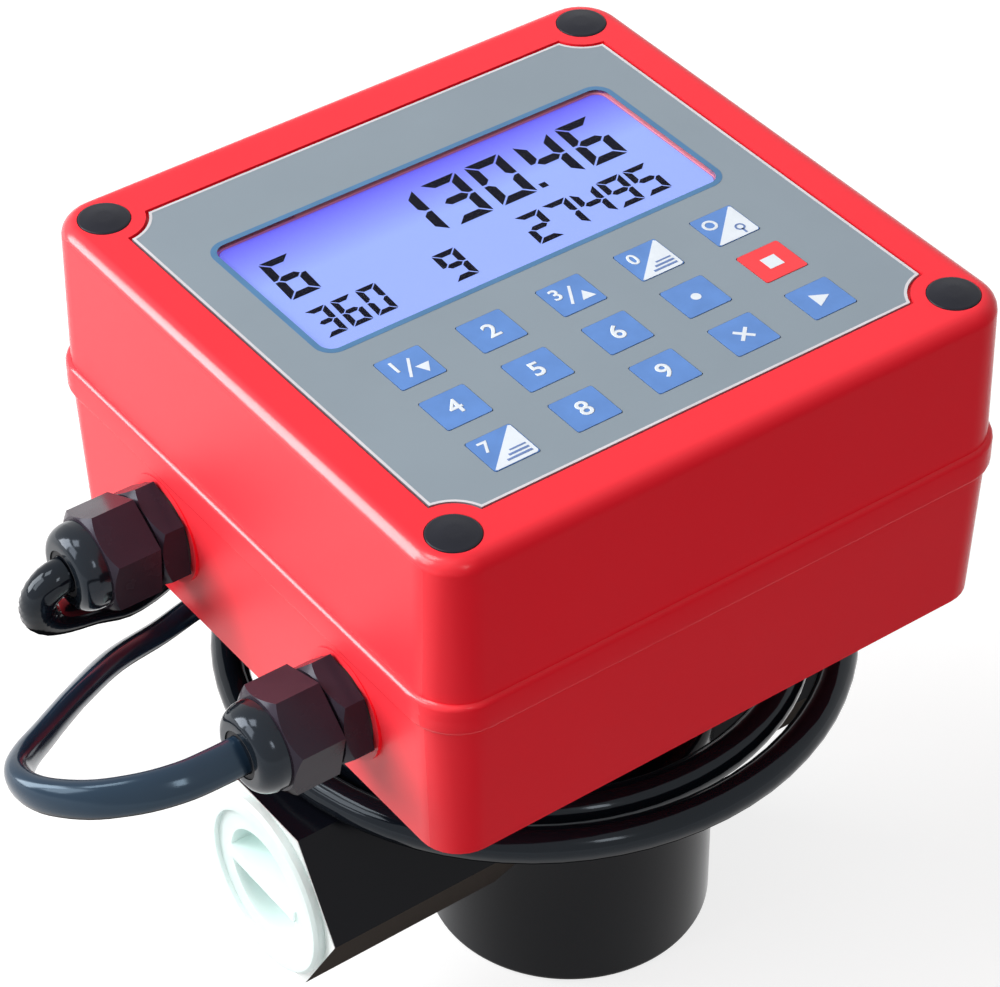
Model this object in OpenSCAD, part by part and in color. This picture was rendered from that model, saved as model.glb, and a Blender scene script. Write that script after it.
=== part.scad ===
// Digital flow meter: a square keypad head with a display on an oval-gear meter
// with a hexagonal pipe bar. Units are millimetres, +Z is up, and the origin is
// the centre of the flat underside of the gear chamber.

/* [Head housing] */
// Width of the square head over its belt
head_w = 153.2; // [146:0.2:160]
// Height of the head's base from its underside to the seam
base_h = 40.5; // [38:0.5:50]
// Corner radius of the head seen from above
head_corner_r = 9.5; // [9:0.5:14]
// How far the base's walls draw in from the belt to the underside
head_draft = 1.5; // [0.5:0.1:2]
// How far the lid's walls draw in from the belt to the top
lid_draft = 0.6; // [0.3:0.1:2]
// How far the belt stands proud of the walls
belt_out = 1.2; // [0.6:0.1:2]
// Height of the belt on each side of the seam
belt_half_h = 4; // [3:0.5:6]
// Radius of the lid's top edge
lid_edge_r = 3.5; // [3:0.5:6]
// Height of the lid above the seam
lid_h = 40.5; // [38:0.5:46]
// Thickness of the side walls at the underside
wall_t = 4; // [3:0.5:5]
// Thickness of the head's floor
floor_t = 4; // [3:0.5:6]
// How far the corner screws stand in from the belt
screw_inset = 11.6; // [10:0.2:13]
// Where the head's centre stands from the chamber's axis, sideways
head_x = -7; // [-10:1:0]
// Where the head's centre stands from the chamber's axis, front to back
head_y = 9; // [0:1:12]

/* [Front panel] */
// How far the grey panel's sides stand in from the belt
panel_side = 12.7; // [12:0.1:14]
// How far the grey panel's front edge stands in from the belt
panel_front = 14.9; // [13:0.1:15.5]
// How far the grey panel's back edge stands in from the belt
panel_back = 15.1; // [13:0.1:16]
// Thickness of the grey panel
panel_t = 0.8; // [0.5:0.1:1.2]
// Depth of the lid's recess for the panel
recess_t = 1; // [0.9:0.1:1.5]
// Gap between the panel's edge and its recess
panel_gap = 0.7; // [0.3:0.1:1]
// Radius of the panel's notch round each corner cap
notch_r = 9.8; // [9:0.1:11]
// Thickness of the lid's plate under the recess
plate_t = 2.2; // [2:0.1:3]
// Distance from the panel's sides to the display opening
window_side = 11.7; // [11:0.1:16]
// Distance from the panel's back edge to the display opening, as a share of the panel's depth
window_behind_share = 0.162; // [0.15:0.001:0.17]
// Depth of the display opening, as a share of the panel's depth
window_share = 0.358; // [0.33:0.001:0.37]
// Width of the printed border round the display
border_w = 1.5; // [1:0.1:2]

/* [Keys] */
// Width of a key, as a share of the panel's width
key_w_share = 0.0876; // [0.075:0.0002:0.092]
// Depth of a key, front to back, as a share of the panel's depth
key_d_share = 0.0866; // [0.075:0.0002:0.09]
// Distance between key columns, as a share of the panel's width
column_share = 0.1628; // [0.15:0.0002:0.168]
// Distance between key rows, as a share of the panel's depth
row_share = 0.1304; // [0.126:0.0002:0.133]
// Distance from the panel's front edge to the front row, as a share of the panel's depth
key_front_share = 0.1004; // [0.096:0.0002:0.108]
// Travel of a key
key_travel = 0.4; // [0.3:0.05:0.4]
// Gap round a key
key_gap = 0.15; // [0.1:0.05:0.25]

/* [Meter body] */
// Distance across the flats of the pipe bar
bar_af = 46; // [42:0.5:48]
// Height of the pipe's axis above the base
bar_z = 52.5; // [50:0.5:58]
// Distance from the chamber's axis to the inlet face
inlet_reach = 85.5; // [80:0.5:92]
// Distance from the chamber's axis to the outlet face
outlet_reach = 66; // [62:0.5:72]
// Core radius of the pipe threads
port_r = 15.15; // [13:0.05:16]
// Depth of the pipe threads
port_depth = 20; // [16:1:24]
// Radius of the flow passages
passage_r = 11.5; // [9:0.5:12]
// Half the thickness of the web between the two passages
web_half_t = 12; // [11:0.5:14]
// Radius of the gear chamber's outside
cup_r = 34.5; // [33.5:0.5:38]
// Height of the gear chamber's outside
cup_h = 62; // [58:1:66]
// Radius of the boss that carries the neck
boss_r = 25; // [23:0.5:28]
// Height of the boss's top above the base
boss_top = 78; // [77:0.5:82]

/* [Neck] */
// Height of the head's underside above the base
head_z = 107; // [105:1:114]
// Radius of the neck
neck_r = 21; // [19:0.5:24]
// Radius of the neck's top flange
neck_flange_r = 31; // [29:0.5:34]
// Thickness of the neck's top flange
neck_flange_t = 5; // [4:0.5:7]
// Radius of the neck's bore
neck_bore_r = 11; // [9:0.5:12]

/* [Gears] */
// Long radius of the oval gears' pitch line
gear_long = 15; // [14:0.1:15.2]
// Short radius of the oval gears' pitch line
gear_short = 10.5; // [10:0.1:10.8]
// Height of the gear chamber
chamber_h = 26; // [22:0.5:27]
// Number of teeth, 2 more than a multiple of 4
gear_teeth = 14; // [10:4:18]
// Half the height of a tooth
tooth_half_h = 0.9; // [0.6:0.05:1.1]
// Radius of the gear shafts
shaft_r = 3.5; // [3:0.1:4]
// Thickness of the chamber cover
cover_t = 10; // [9:0.5:11]

/* [Cable glands] */
// Distance across the flats of a gland
gland_af = 22; // [20:0.5:24]
// Half the distance between the two glands
gland_y = 35; // [30:0.5:37]
// How far the middle between the glands stands in front of the head's middle
gland_fwd = 3.9; // [0:0.1:5]
// Height of the glands above the head's underside
gland_up = 21.2; // [18:0.2:22]
// Thickness of a gland's collar
collar_t = 6.2; // [4:0.1:7]
// Length of a gland nut's hexagon
nut_len = 12; // [10:0.1:13]
// Length of a gland nut's round end
dome_len = 6.3; // [5:0.1:8]
// Radius of the gland's thread
gland_thread_r = 9.3; // [8.5:0.1:9.6]

/* [Leads] */
// Diameter of the round back lead
lead_d = 8.4; // [7:0.1:8.6]
// Width of the flat front lead
flat_w = 8.6; // [7:0.1:8.8]
// Thickness of the flat front lead
flat_t = 5.8; // [5:0.1:6.5]

/* [Hidden] */

// Colours
red = [0.86, 0.1, 0.13];
panel_grey = [0.58, 0.63, 0.67];
key_blue = [0.36, 0.55, 0.83];
key_red = [0.9, 0.2, 0.24];
glossy_black = [0.07, 0.07, 0.09];
gland_black = [0.15, 0.11, 0.14];
lead_black = [0.05, 0.06, 0.08];
plug_white = [0.9, 0.97, 0.95];
display_blue = [0.5, 0.58, 1];
steel = [0.72, 0.73, 0.75];
board_green = [0.1, 0.42, 0.25];

// Overrun of every cut past the face that it opens
over = 0.5;
// Clearance of a screw, pin or stem in its hole
screw_gap = 0.05;
// Clearance of a running fit
run_gap = 0.05;
// Clearance of a pressed ring or bush
press_gap = 0.02;
// Clearance between a loose piece and the piece beside it
rest_gap = 0.2;
// Circle steps of a hull's corner posts
post_fn = 32;

// Levels of the head
seam_z = head_z + base_h;
top_z = seam_z + lid_h;
recess_z = top_z - recess_t;
plate_z = recess_z - plate_t;
belt_half = head_w / 2;
wall_half = belt_half - belt_out;
end_half = wall_half - head_draft;
inner_half = end_half - wall_t;
size_step = 0.1;
function stepped(size) = size_step * round(size / size_step);
lid_half = wall_half - lid_draft;
inner_corner_r = head_corner_r - wall_t;
belt_slope_h = 1.2;
screw_at = belt_half - screw_inset;
corners = [[1, 1], [-1, 1], [-1, -1], [1, -1]];

// Places on the panel, from the lid's centre
panel_w = head_w - 2 * panel_side;
panel_d = head_w - panel_front - panel_back;
panel_fwd = (panel_back - panel_front) / 2;
window_w = panel_w - 2 * window_side;
window_d = stepped(panel_d * window_share);
window_behind = stepped(panel_d * window_behind_share);
window_back = belt_half - panel_back - window_behind - window_d / 2;
key_w = stepped(panel_w * key_w_share);
key_d = stepped(panel_d * key_d_share);
key_pitch_x = stepped(panel_w * column_share);
key_pitch_y = stepped(panel_d * row_share);
key_fwd = belt_half - panel_front - stepped(panel_d * key_front_share) - key_pitch_y;

// Corner screws and caps
post_r = 7.5;
lid_screw_r = 2;
lid_screw_head_r = 3.6;
lid_screw_head_h = 4;
lid_screw_grip = 14;
cap_r = 5.8;
cap_seat_h = 2.8;
cap_dome_h = 0.7;
cap_rim_h = 0.3;
cap_rim_share = 0.86;
counterbore_r = 4.2;
counterbore_up = 8;
hex_socket_share = 0.55;

// Seal between lid and base
gasket_w = 2.2;
gasket_h = 1.6;
gasket_inset = 0.9;
gasket_half = inner_half + gasket_w / 2 + gasket_inset;
gasket_corner_r = inner_corner_r + gasket_w / 2 + gasket_inset;

// Boards and display stack, below the lid's plate
window_corner_r = 3;
lcd_rim = 2.8;
lcd_t = 2.8;
lcd_face_gap = 0.3;
lcd_face_down = 0.2;
backlight_t = 3.5;
board_t = 1.6;
board_margin_x = 12.8;
board_margin_y = 13.8;
board_w = 2 * (inner_half - board_margin_x);
board_d = 2 * (inner_half - board_margin_y);
board_screw_inset_x = 4.5;
board_screw_inset_y = 5.5;
board_screw_x = board_w / 2 - board_screw_inset_x;
board_screw_y = board_d / 2 - board_screw_inset_y;
standoff_r = 3.2;
board_screw_r = 1.4;
board_screw_head_r = 2.6;
board_screw_head_h = 1.8;
board_screw_len = 5;
board_hole_r = board_screw_r + screw_gap;
lcd_z = plate_z - lcd_t;
backlight_z = lcd_z - backlight_t;
board_top_z = backlight_z;
board_z = board_top_z - board_t;

// Keys
key_cap_t = 1.2;
key_proud = 0.1;
key_stem_r = 2.6;
key_stem_gap = 0.1;
key_corner_r = 0.6;
key_top_z = recess_z + panel_t + key_proud;
key_under_z = key_top_z - key_cap_t;
key_pocket_z = key_under_z - key_travel - rest_gap;
switch_w = 6;
switch_body_h = 1.6;
switch_top_r = 1.7;
switch_top_h = 0.5;
key_stem_z = board_top_z + switch_body_h + switch_top_h + key_travel + screw_gap;
column_shares = [-2, -1, 0, 1, 2];
row_shares = [1, 0, -1];

// Main board in the base
main_board_up = 6;
main_board_z = head_z + floor_t + main_board_up;
main_board_margin = 17.8;
main_board_w = 2 * (inner_half - main_board_margin);
main_board_d = main_board_w;
main_board_shift = 6;
main_screw_inset_x = 10;
main_screw_inset_y = 6;
main_screw_x = main_board_w / 2 - main_screw_inset_x;
main_screw_y = main_board_d / 2 - main_screw_inset_y;
block_w = 11;
block_d = 84;
block_h = 14.5;
block_wire_r = 1.3;
block_ways = 12;
link_w = 26;
link_t = 3;
link_shift = 30;

// Cable glands
gland_z = head_z + gland_up;
pad_r = 13;
pad_out = 0.2;
pad_x = end_half + head_draft * (gland_up + pad_r) / (base_h - belt_half_h) + pad_out;
washer_t = 0.6;
washer_out_r = 11;
collar_x = pad_x + washer_t;
nut_gap = 0.7;
nut_x = collar_x + collar_t + nut_gap;
dome_x = nut_x + nut_len;
gland_end_x = dome_x + dome_len;
gland_bore_r = 5.6;
dome_r = 10.3;
dome_lip_r = 6.9;
dome_round = 5;
chamfer_share = 0.93;
chamfer_len = 1.8;
nut_wall_end = 5;
seal_gap = 0.1;
seal_bore_r = 4.4;
seal_in = 14;
collar_turn = 14;
nut_turn = 47;
back_nut_turn = 56;
back_collar_turn = 8;
locknut_t = 5;
locknut_over = 2;
locknut_turn = 30;
sleeve_in = wall_t + pad_x - end_half + locknut_t + 2 * screw_gap;
thread_out = 10.5;
tail_r = 4.25;
tail_in = 14;
core_r = 0.9;
core_len = 7.5;
core_spread = 2.4;
lead_start_x = 101;

// Meter body
bar_top = bar_z + bar_af / 2;
arm_step = 0.5;
arm_x = cup_r + arm_step;
cup_round = 3;
cup_foot_round = 1.6;
cover_r = 30;
cover_gap = 0.1;
chamber_gap = 0.2;
gear_end_gap = 0.3;
gear_off = (gear_long + gear_short) / 2;
chamber_r = gear_long + tooth_half_h + chamber_gap;
chamber_top = cover_t + chamber_h;
gear_h = chamber_h - 2 * gear_end_gap;
pocket_r = 6.5;
pocket_x = 14;
shaft_seat = 5;
bush_r = 6;
gear_slack = 0.56;
magnet_r = 1.8;
magnet_h = 4;
magnet_off = 9.2;
oring_r = 1.2;
oring_z = 6;
cover_screw_r = 2;
cover_screw_ring = 25;
cover_screw_head_r = 3.3;
cover_screw_head_h = 3.6;
cover_screw_len = 18;
cover_screw_angles = [0, 35, 145, 180, 215, 325];
sensor_r = 5.8;
sensor_floor = 5;
spigot_r = 16;
spigot_h = 8;
port_chamfer = 1.2;

// Neck
neck_screw_r = 2.5;
neck_screw_ring = 25;
neck_screw_head_r = 4.2;
neck_screw_head_h = 4.5;
neck_screw_len = 8;
neck_seal_r = 17;
neck_seal_w = 2;
neck_seal_h = 1.5;
grommet_angle = 140;
grommet_r = 6.4;
grommet_lip_r = 7.8;
grommet_lip_t = 1.6;
lead_entry_z = 94;
sensor_lead_r = 2.4;
sensor_stem_r = 3.2;

// Inlet plug and strainer
plug_flange_r = 22.9;
plug_flange_t = 2.6;
plug_round = 0.8;
plug_len = 12;
plug_gap = 0.15;
plug_wall = 1.8;
plug_floor = 2;
plug_bar_t = 3;
plug_rim_w = 4.4;
plug_dish = 1.2;
strainer_len = 34;
strainer_wall = 0.8;
strainer_lip_r = 14.8;
strainer_lip_t = 1.2;
strainer_holes = 8;
strainer_rows = 4;
strainer_hole_r = 1.7;

// Routes of the leads, chosen by hand, from the gland or the coil's start
front_route = [[-108, -29.9, 128.2], [-114.5, -29.9, 128.2], [-122, -29.2, 128],
    [-130.5, -26, 127.1], [-138.8, -19.6, 125.2], [-144.2, -10.3, 122.4], [-144.4, -1.1, 119.6],
    [-139, 7.2, 115.6], [-128.8, 15.9, 111.2], [-115.6, 25.9, 106.6], [-100.6, 35.6, 101.6],
    [-85, 42, 97], [-72, 45.5, 96], [-60, 46.5, 95], [-48, 43.5, 94.4],
    [-38.5, 35.5, 94], [-30.5, 26.6, 94], [-23.6, 19.8, 94], [-17.3, 14.53, 94]];
// Which way the flat lead's broad side runs at each point of its route
front_broad = [[0, 0.65, 0.65], [0, 0.65, 0.65], [0.1, 0.6, 0.7], [0.1, 0.5, 0.8],
    [0, 0.4, 0.9], [-0.1, 0.3, 1], [-0.2, -0.1, 1], [-0.3, -0.4, 1], [-0.3, -0.6, 1],
    [-0.3, -0.8, 0.9], [-0.3, -0.9, 0.8], [-0.3, -0.9, 0.8], [-0.2, -0.9, 0.8],
    [-0.1, -0.7, 0.9], [0, -0.4, 1], [0, 0, 1], [0, 0, 1], [0, 0, 1], [0, 0, 1]];
back_route = [[-108, 40.1, 128.2], [-111.6, 40.2, 127.4], [-114.3, 40.9, 124],
    [-114.4, 41.9, 119.2], [-111.4, 43.4, 115], [-106, 45, 111.8], [-98.5, 46.8, 108.8],
    [-89, 49.6, 103.8], [-78, 54.8, 100.2], [-66, 63.4, 95.6], [-55, 72.6, 89.2],
    [-46, 79, 84], [-38.5, 83.4, 80.8], [-30.4, 84.9, 79.8]];
// The coil of the back lead, laid loosely on the bar round the neck
coil_x = -6;
coil_y = 10;
coil_r = 78;
coil_pitch = 10.4;
coil_turns = 2.25;
coil_start = 105;
coil_rings = 24;
coil_sides = 6;
coil_gap = 0.1;
coil_z = bar_top + lead_d / 2 + coil_gap;
lead_steps = 3;
lead_sides = 8;
flat_sides = 10;
end_core_r = 1.1;
end_core_len = 12;
end_core_spread = 2.3;
ferrule_r = 1.4;
ferrule_len = 6;
tie_angle = 60;
tie_w = 4.8;
tie_t = 1.2;
tie_gap = 0.1;
tie_head_w = 7;
tie_head_t = 5;
tie_tail_len = 9;

// Shapes

module round_box(w, d, r, h) {
    linear_extrude(h) round_rect(w, d, r);
}

module round_rect(w, d, r) {
    square([w - 2 * r, d], center = true);
    square([w, d - 2 * r], center = true);
    for (c = corners)
        translate([c[0] * (w / 2 - r), c[1] * (d / 2 - r)]) circle(r, $fn = 64);
}

// A square shell whose wall follows a profile of [half width, height] pairs
module drafted_block(profile) {
    hull() for (c = corners)
        translate([c[0] * (end_half - head_corner_r), c[1] * (end_half - head_corner_r), 0])
            rotate_extrude($fn = post_fn)
                polygon(concat([[0, profile[0][1]]],
                    [for (p = profile) [p[0] - end_half + head_corner_r, p[1]]],
                    [[0, profile[len(profile) - 1][1]]]));
}

module at_head() {
    translate([head_x, head_y, 0]) children();
}

module at_corner_screws() {
    for (c = corners) translate([c[0] * screw_at, c[1] * screw_at, 0]) children();
}

module along_minus_x() {
    rotate([0, -90, 0]) children();
}

module hex_prism(af, h) {
    cylinder(h, r = af / 2 / cos(30), $fn = 6);
}

// A hexagon whose far end is chamfered round
module chamfered_hex(af, h) {
    corner = af / 2 / cos(30);
    intersection() {
        hex_prism(af, h);
        rotate_extrude($fn = 72)
            polygon([[0, 0], [corner + over, 0], [corner + over, h - chamfer_len],
                [corner * chamfer_share - chamfer_len / 2, h], [0, h]]);
    }
}

module socket_screw(shank_r, shank_len, head_r, head_h) {
    difference() {
        union() {
            cylinder(head_h, r = head_r, $fn = 48);
            translate([0, 0, -shank_len]) cylinder(shank_len + over, r = shank_r, $fn = 32);
        }
        translate([0, 0, head_h / 2])
            cylinder(head_h, r = head_r * hex_socket_share, $fn = 6);
    }
}

// Head housing

module panel_shape(grow) {
    difference() {
        square([panel_w + 2 * grow, panel_d + 2 * grow], center = true);
        for (c = corners)
            translate([c[0] * screw_at, c[1] * screw_at + panel_fwd])
                circle(notch_r - grow, $fn = 64);
    }
}

module at_panel() {
    translate([0, -panel_fwd, 0]) children();
}

module at_window() {
    translate([0, window_back, 0]) children();
}

module at_keys() {
    for (row = row_shares) for (col = column_shares)
        translate([col * key_pitch_x, row * key_pitch_y - key_fwd, 0]) children();
}

module board_screw_places() {
    for (x = [-board_screw_x, board_screw_x]) for (y = [-board_screw_y, board_screw_y])
        translate([x, y, 0]) children();
}

module main_screw_places() {
    for (x = [-main_screw_x, main_screw_x]) for (y = [-main_screw_y, main_screw_y])
        translate([main_board_shift + x, y, 0]) children();
}

module at_glands() {
    for (side = [-1, 1]) {
        $gland_side = side;
        translate([0, side * gland_y - gland_fwd, gland_z]) along_minus_x() children();
    }
}

module turned(front_turn, back_turn) {
    rotate($gland_side < 0 ? front_turn : back_turn) children();
}

module neck_screw_places() {
    for (a = [45 : 90 : 315])
        rotate(a) translate([neck_screw_ring, 0, 0]) children();
}

// The belt's edge is a quarter round, above the seam with way 1 and below it with way -1
function belt_edge(angle, way) = [wall_half + stepped(belt_out * cos(angle)),
    seam_z + way * (belt_half_h - stepped(belt_slope_h * (1 - sin(angle))))];

module base_outside() {
    drafted_block([[end_half - over, head_z], [end_half, head_z + over],
        [wall_half, seam_z - belt_half_h], [wall_half, seam_z]]);
    drafted_block(concat([for (a = [90 : -30 : 0]) belt_edge(a, -1)], [[belt_half, seam_z]]));
}

module head_base() {
    color(red) {
        at_head() difference() {
            union() {
                base_outside();
                at_glands() cylinder(pad_x, r = pad_r, $fn = 64);
            }
            difference() {
                translate([0, 0, head_z + floor_t])
                    round_box(2 * inner_half, 2 * inner_half, inner_corner_r, base_h);
                at_corner_screws() translate([0, 0, head_z])
                    cylinder(seam_z - head_z, r = post_r, $fn = 64);
                main_screw_places() translate([0, 0, head_z])
                    cylinder(floor_t + main_board_up, r = standoff_r, $fn = 32);
            }
            at_corner_screws() translate([0, 0, seam_z - lid_screw_grip - over])
                cylinder(lid_screw_grip + 2 * over, r = lid_screw_r + screw_gap, $fn = 32);
            main_screw_places() translate([0, 0, main_board_z - board_screw_len])
                cylinder(board_screw_len + over, r = board_hole_r, $fn = 32);
            translate([0, 0, seam_z - gasket_h]) gasket_ring(gasket_w, gasket_h + over);
            at_glands() cylinder(pad_x + over, r = gland_thread_r + screw_gap, $fn = 64);
            translate([-head_x, -head_y, head_z - over]) {
                cylinder(floor_t + 2 * over, r = neck_bore_r, $fn = 64);
                neck_screw_places()
                    cylinder(floor_t + 2 * over, r = neck_screw_r + screw_gap, $fn = 32);
            }
        }
    }
}

module gasket_ring(w, h) {
    linear_extrude(h) difference() {
        round_rect(2 * gasket_half + w, 2 * gasket_half + w, gasket_corner_r + w / 2);
        round_rect(2 * gasket_half - w, 2 * gasket_half - w, gasket_corner_r - w / 2);
    }
}

module lid_gasket() {
    color(glossy_black) at_head() translate([0, 0, seam_z - gasket_h])
        gasket_ring(gasket_w - 2 * press_gap, gasket_h);
}

// The lid's wall profile ends in a quarter round at the top edge
function edge_profile() = [for (a = [0 : 15 : 90])
    [lid_half - lid_edge_r * (1 - cos(a)), top_z - lid_edge_r * (1 - sin(a))]];

module head_lid() {
    color(red) at_head() difference() {
        union() {
            drafted_block(concat([[wall_half, seam_z], [wall_half, seam_z + belt_half_h]],
                edge_profile()));
            drafted_block(concat([[belt_half, seam_z]],
                [for (a = [0 : 30 : 90]) belt_edge(a, 1)]));
        }
        difference() {
            translate([0, 0, seam_z - over])
                round_box(2 * inner_half, 2 * inner_half, inner_corner_r,
                    plate_z - seam_z + over);
            at_corner_screws() translate([0, 0, seam_z]) cylinder(lid_h, r = post_r, $fn = 64);
            board_screw_places() translate([0, 0, board_top_z])
                cylinder(plate_z - board_top_z + over, r = standoff_r, $fn = 32);
        }
        at_panel() translate([0, 0, recess_z])
            linear_extrude(recess_t + over) panel_shape(panel_gap);
        at_window() translate([0, 0, plate_z - over])
            round_box(window_w, window_d, window_corner_r, plate_t + 2 * over);
        at_keys() {
            translate([0, 0, key_pocket_z])
                round_box(key_w + 2 * key_gap, key_d + 2 * key_gap, key_corner_r, recess_t + over);
            translate([0, 0, plate_z - over])
                cylinder(plate_t + over, r = key_stem_r + key_stem_gap, $fn = 32);
        }
        board_screw_places() translate([0, 0, board_top_z - over])
            cylinder(board_screw_len - board_t + over, r = board_hole_r, $fn = 32);
        at_corner_screws() {
            translate([0, 0, seam_z - over])
                cylinder(lid_h, r = lid_screw_r + screw_gap, $fn = 32);
            translate([0, 0, seam_z + counterbore_up])
                cylinder(lid_h, r = counterbore_r, $fn = 48);
            translate([0, 0, top_z - cap_seat_h])
                cylinder(cap_seat_h + over, r = cap_r + key_gap, $fn = 64);
        }
    }
}

module lid_screws() {
    color(steel) at_head() at_corner_screws() translate([0, 0, seam_z + counterbore_up])
        socket_screw(lid_screw_r, counterbore_up + lid_screw_grip,
            lid_screw_head_r, lid_screw_head_h);
}

module corner_caps() {
    color(gland_black) at_head() at_corner_screws() translate([0, 0, top_z - cap_seat_h])
        rotate_extrude($fn = 72) polygon(concat([[0, 0], [cap_r, 0]],
            [for (a = [0 : 15 : 90]) [cap_r * (cap_rim_share + (1 - cap_rim_share) * cos(a)),
                cap_seat_h + cap_rim_h * sin(a)]],
            [[cap_r * cap_rim_share / 2, cap_seat_h + (cap_rim_h + cap_dome_h) / 2
                + cap_rim_h / 2], [0, cap_seat_h + cap_dome_h]]));
}

module overlay_panel() {
    color(panel_grey) at_head() translate([0, 0, recess_z]) difference() {
        at_panel() linear_extrude(panel_t) panel_shape(0);
        translate([0, 0, -over]) {
            at_window() round_box(window_w + 2 * border_w, window_d + 2 * border_w,
                window_corner_r + border_w, panel_t + 2 * over);
            at_keys() round_box(key_w + 2 * key_gap, key_d + 2 * key_gap,
                key_corner_r, panel_t + 2 * over);
        }
    }
}

module display_window() {
    color([display_blue[0], display_blue[1], display_blue[2], 0.35]) at_head() at_window()
        translate([0, 0, recess_z])
            round_box(window_w + 2 * border_w - 2 * press_gap,
                window_d + 2 * border_w - 2 * press_gap,
                window_corner_r + border_w - press_gap, panel_t);
}

module lcd_glass() {
    color(display_blue) at_head() at_window() translate([0, 0, lcd_z]) {
        round_box(window_w + 2 * lcd_rim, window_d + 2 * lcd_rim, key_corner_r, lcd_t);
        round_box(window_w - 2 * lcd_face_gap, window_d - 2 * lcd_face_gap,
            window_corner_r - lcd_face_gap, lcd_t + plate_t - lcd_face_down);
    }
}

module lcd_backlight() {
    color(plug_white) at_head() at_window() translate([0, 0, backlight_z])
        round_box(window_w + 2 * lcd_rim, window_d + 2 * lcd_rim, key_corner_r, backlight_t);
}

// Boards

module display_board() {
    color(board_green) at_head() difference() {
        translate([0, 0, board_z]) round_box(board_w, board_d, border_w, board_t);
        board_screw_places() translate([0, 0, board_z - over])
            cylinder(board_t + 2 * over, r = board_hole_r, $fn = 32);
    }
}

module board_screws() {
    color(steel) at_head() {
        board_screw_places() translate([0, 0, board_z]) mirror([0, 0, 1])
            socket_screw(board_screw_r, board_screw_len - screw_gap,
                board_screw_head_r, board_screw_head_h);
        main_screw_places() translate([0, 0, main_board_z + board_t])
            socket_screw(board_screw_r, board_screw_len - screw_gap,
                board_screw_head_r, board_screw_head_h);
    }
}

module key_switches() {
    color(gland_black) at_head() at_keys() translate([0, 0, board_top_z]) {
        translate([-switch_w / 2, -switch_w / 2, 0]) cube([switch_w, switch_w, switch_body_h]);
        cylinder(switch_body_h + switch_top_h, r = switch_top_r, $fn = 32);
    }
}

module main_board() {
    board_link();
    color(board_green) at_head() difference() {
        translate([main_board_shift, 0, main_board_z])
            round_box(main_board_w, main_board_d, border_w, board_t);
        main_screw_places() translate([0, 0, main_board_z - over])
            cylinder(board_t + 2 * over, r = board_hole_r, $fn = 32);
        translate([-head_x, -head_y, main_board_z - over])
            cylinder(board_t + 2 * over, r = neck_bore_r, $fn = 64);
    }
}

block_x = -pad_x + sleeve_in + core_len + tail_in;
block_pitch = block_d / block_ways;

module terminal_block() {
    color([0.2, 0.45, 0.3]) at_head()
        translate([block_x, -block_d / 2, main_board_z + board_t]) difference() {
            cube([block_w, block_d, block_h]);
            for (i = [0 : block_ways - 1]) translate([0, (i + 0.5) * block_pitch, 0]) {
                translate([-over, 0, gland_z - main_board_z - board_t]) rotate([0, 90, 0])
                    cylinder(block_w / 2, r = block_wire_r, $fn = 24);
                translate([block_w / 2, 0, block_h - block_w / 4])
                    cylinder(block_w, r = 2 * block_wire_r, $fn = 24);
            }
        }
}

// The plug-in strip that stands on the main board and carries the display board
module board_link() {
    color(board_green) at_head() translate([link_shift, 0, main_board_z + board_t - press_gap])
        round_box(link_w, link_t, border_w / 2, board_z - main_board_z - board_t + press_gap);
}

// Keys

module key_cap(col, row, tint) {
    color(tint) at_head()
        translate([column_shares[col] * key_pitch_x, row_shares[row] * key_pitch_y - key_fwd, 0]) {
            translate([0, 0, key_under_z]) round_box(key_w, key_d, key_corner_r, key_cap_t);
            translate([0, 0, key_stem_z])
                cylinder(key_under_z - key_stem_z + key_cap_t / 2, r = key_stem_r, $fn = 32);
        }
}

module key_1() { key_cap(0, 0, key_blue); }
module key_2() { key_cap(1, 0, key_blue); }
module key_3() { key_cap(2, 0, key_blue); }
module key_0() { key_cap(3, 0, key_blue); }
module key_lock() { key_cap(4, 0, key_blue); }
module key_4() { key_cap(0, 1, key_blue); }
module key_5() { key_cap(1, 1, key_blue); }
module key_6() { key_cap(2, 1, key_blue); }
module key_point() { key_cap(3, 1, key_blue); }
module key_stop() { key_cap(4, 1, key_red); }
module key_7() { key_cap(0, 2, key_blue); }
module key_8() { key_cap(1, 2, key_blue); }
module key_9() { key_cap(2, 2, key_blue); }
module key_clear() { key_cap(3, 2, key_blue); }
module key_start() { key_cap(4, 2, key_blue); }

// Cable glands

module gland_bodies() {
    color(gland_black) at_head() at_glands() difference() {
        union() {
            translate([0, 0, pad_x - sleeve_in])
                cylinder(sleeve_in + washer_t + over, r = gland_thread_r, $fn = 64);
            translate([0, 0, collar_x]) turned(collar_turn, back_collar_turn)
                chamfered_hex(gland_af, collar_t);
            translate([0, 0, collar_x + over])
                cylinder(collar_t + thread_out - over, r = gland_thread_r - run_gap, $fn = 64);
        }
        cylinder(collar_x + collar_t + thread_out + over, r = gland_bore_r, $fn = 64);
    }
}

module gland_nuts() {
    dome_profile = [for (a = [0 : 15 : 90])
        [dome_lip_r + (dome_r - dome_lip_r) * cos(a), dome_len - dome_round * (1 - sin(a))]];
    color(gland_black) at_head() at_glands() translate([0, 0, nut_x]) difference() {
        union() {
            turned(nut_turn, back_nut_turn) chamfered_hex(gland_af, nut_len);
            translate([0, 0, nut_len]) rotate_extrude($fn = 72)
                polygon(concat([[0, -over], [dome_r, -over]], dome_profile, [[0, dome_len]]));
        }
        translate([0, 0, -over])
            cylinder(nut_len + dome_len - nut_wall_end + over, r = gland_thread_r, $fn = 64);
        cylinder(nut_len + dome_len + over, r = gland_bore_r, $fn = 64);
    }
}

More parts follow.
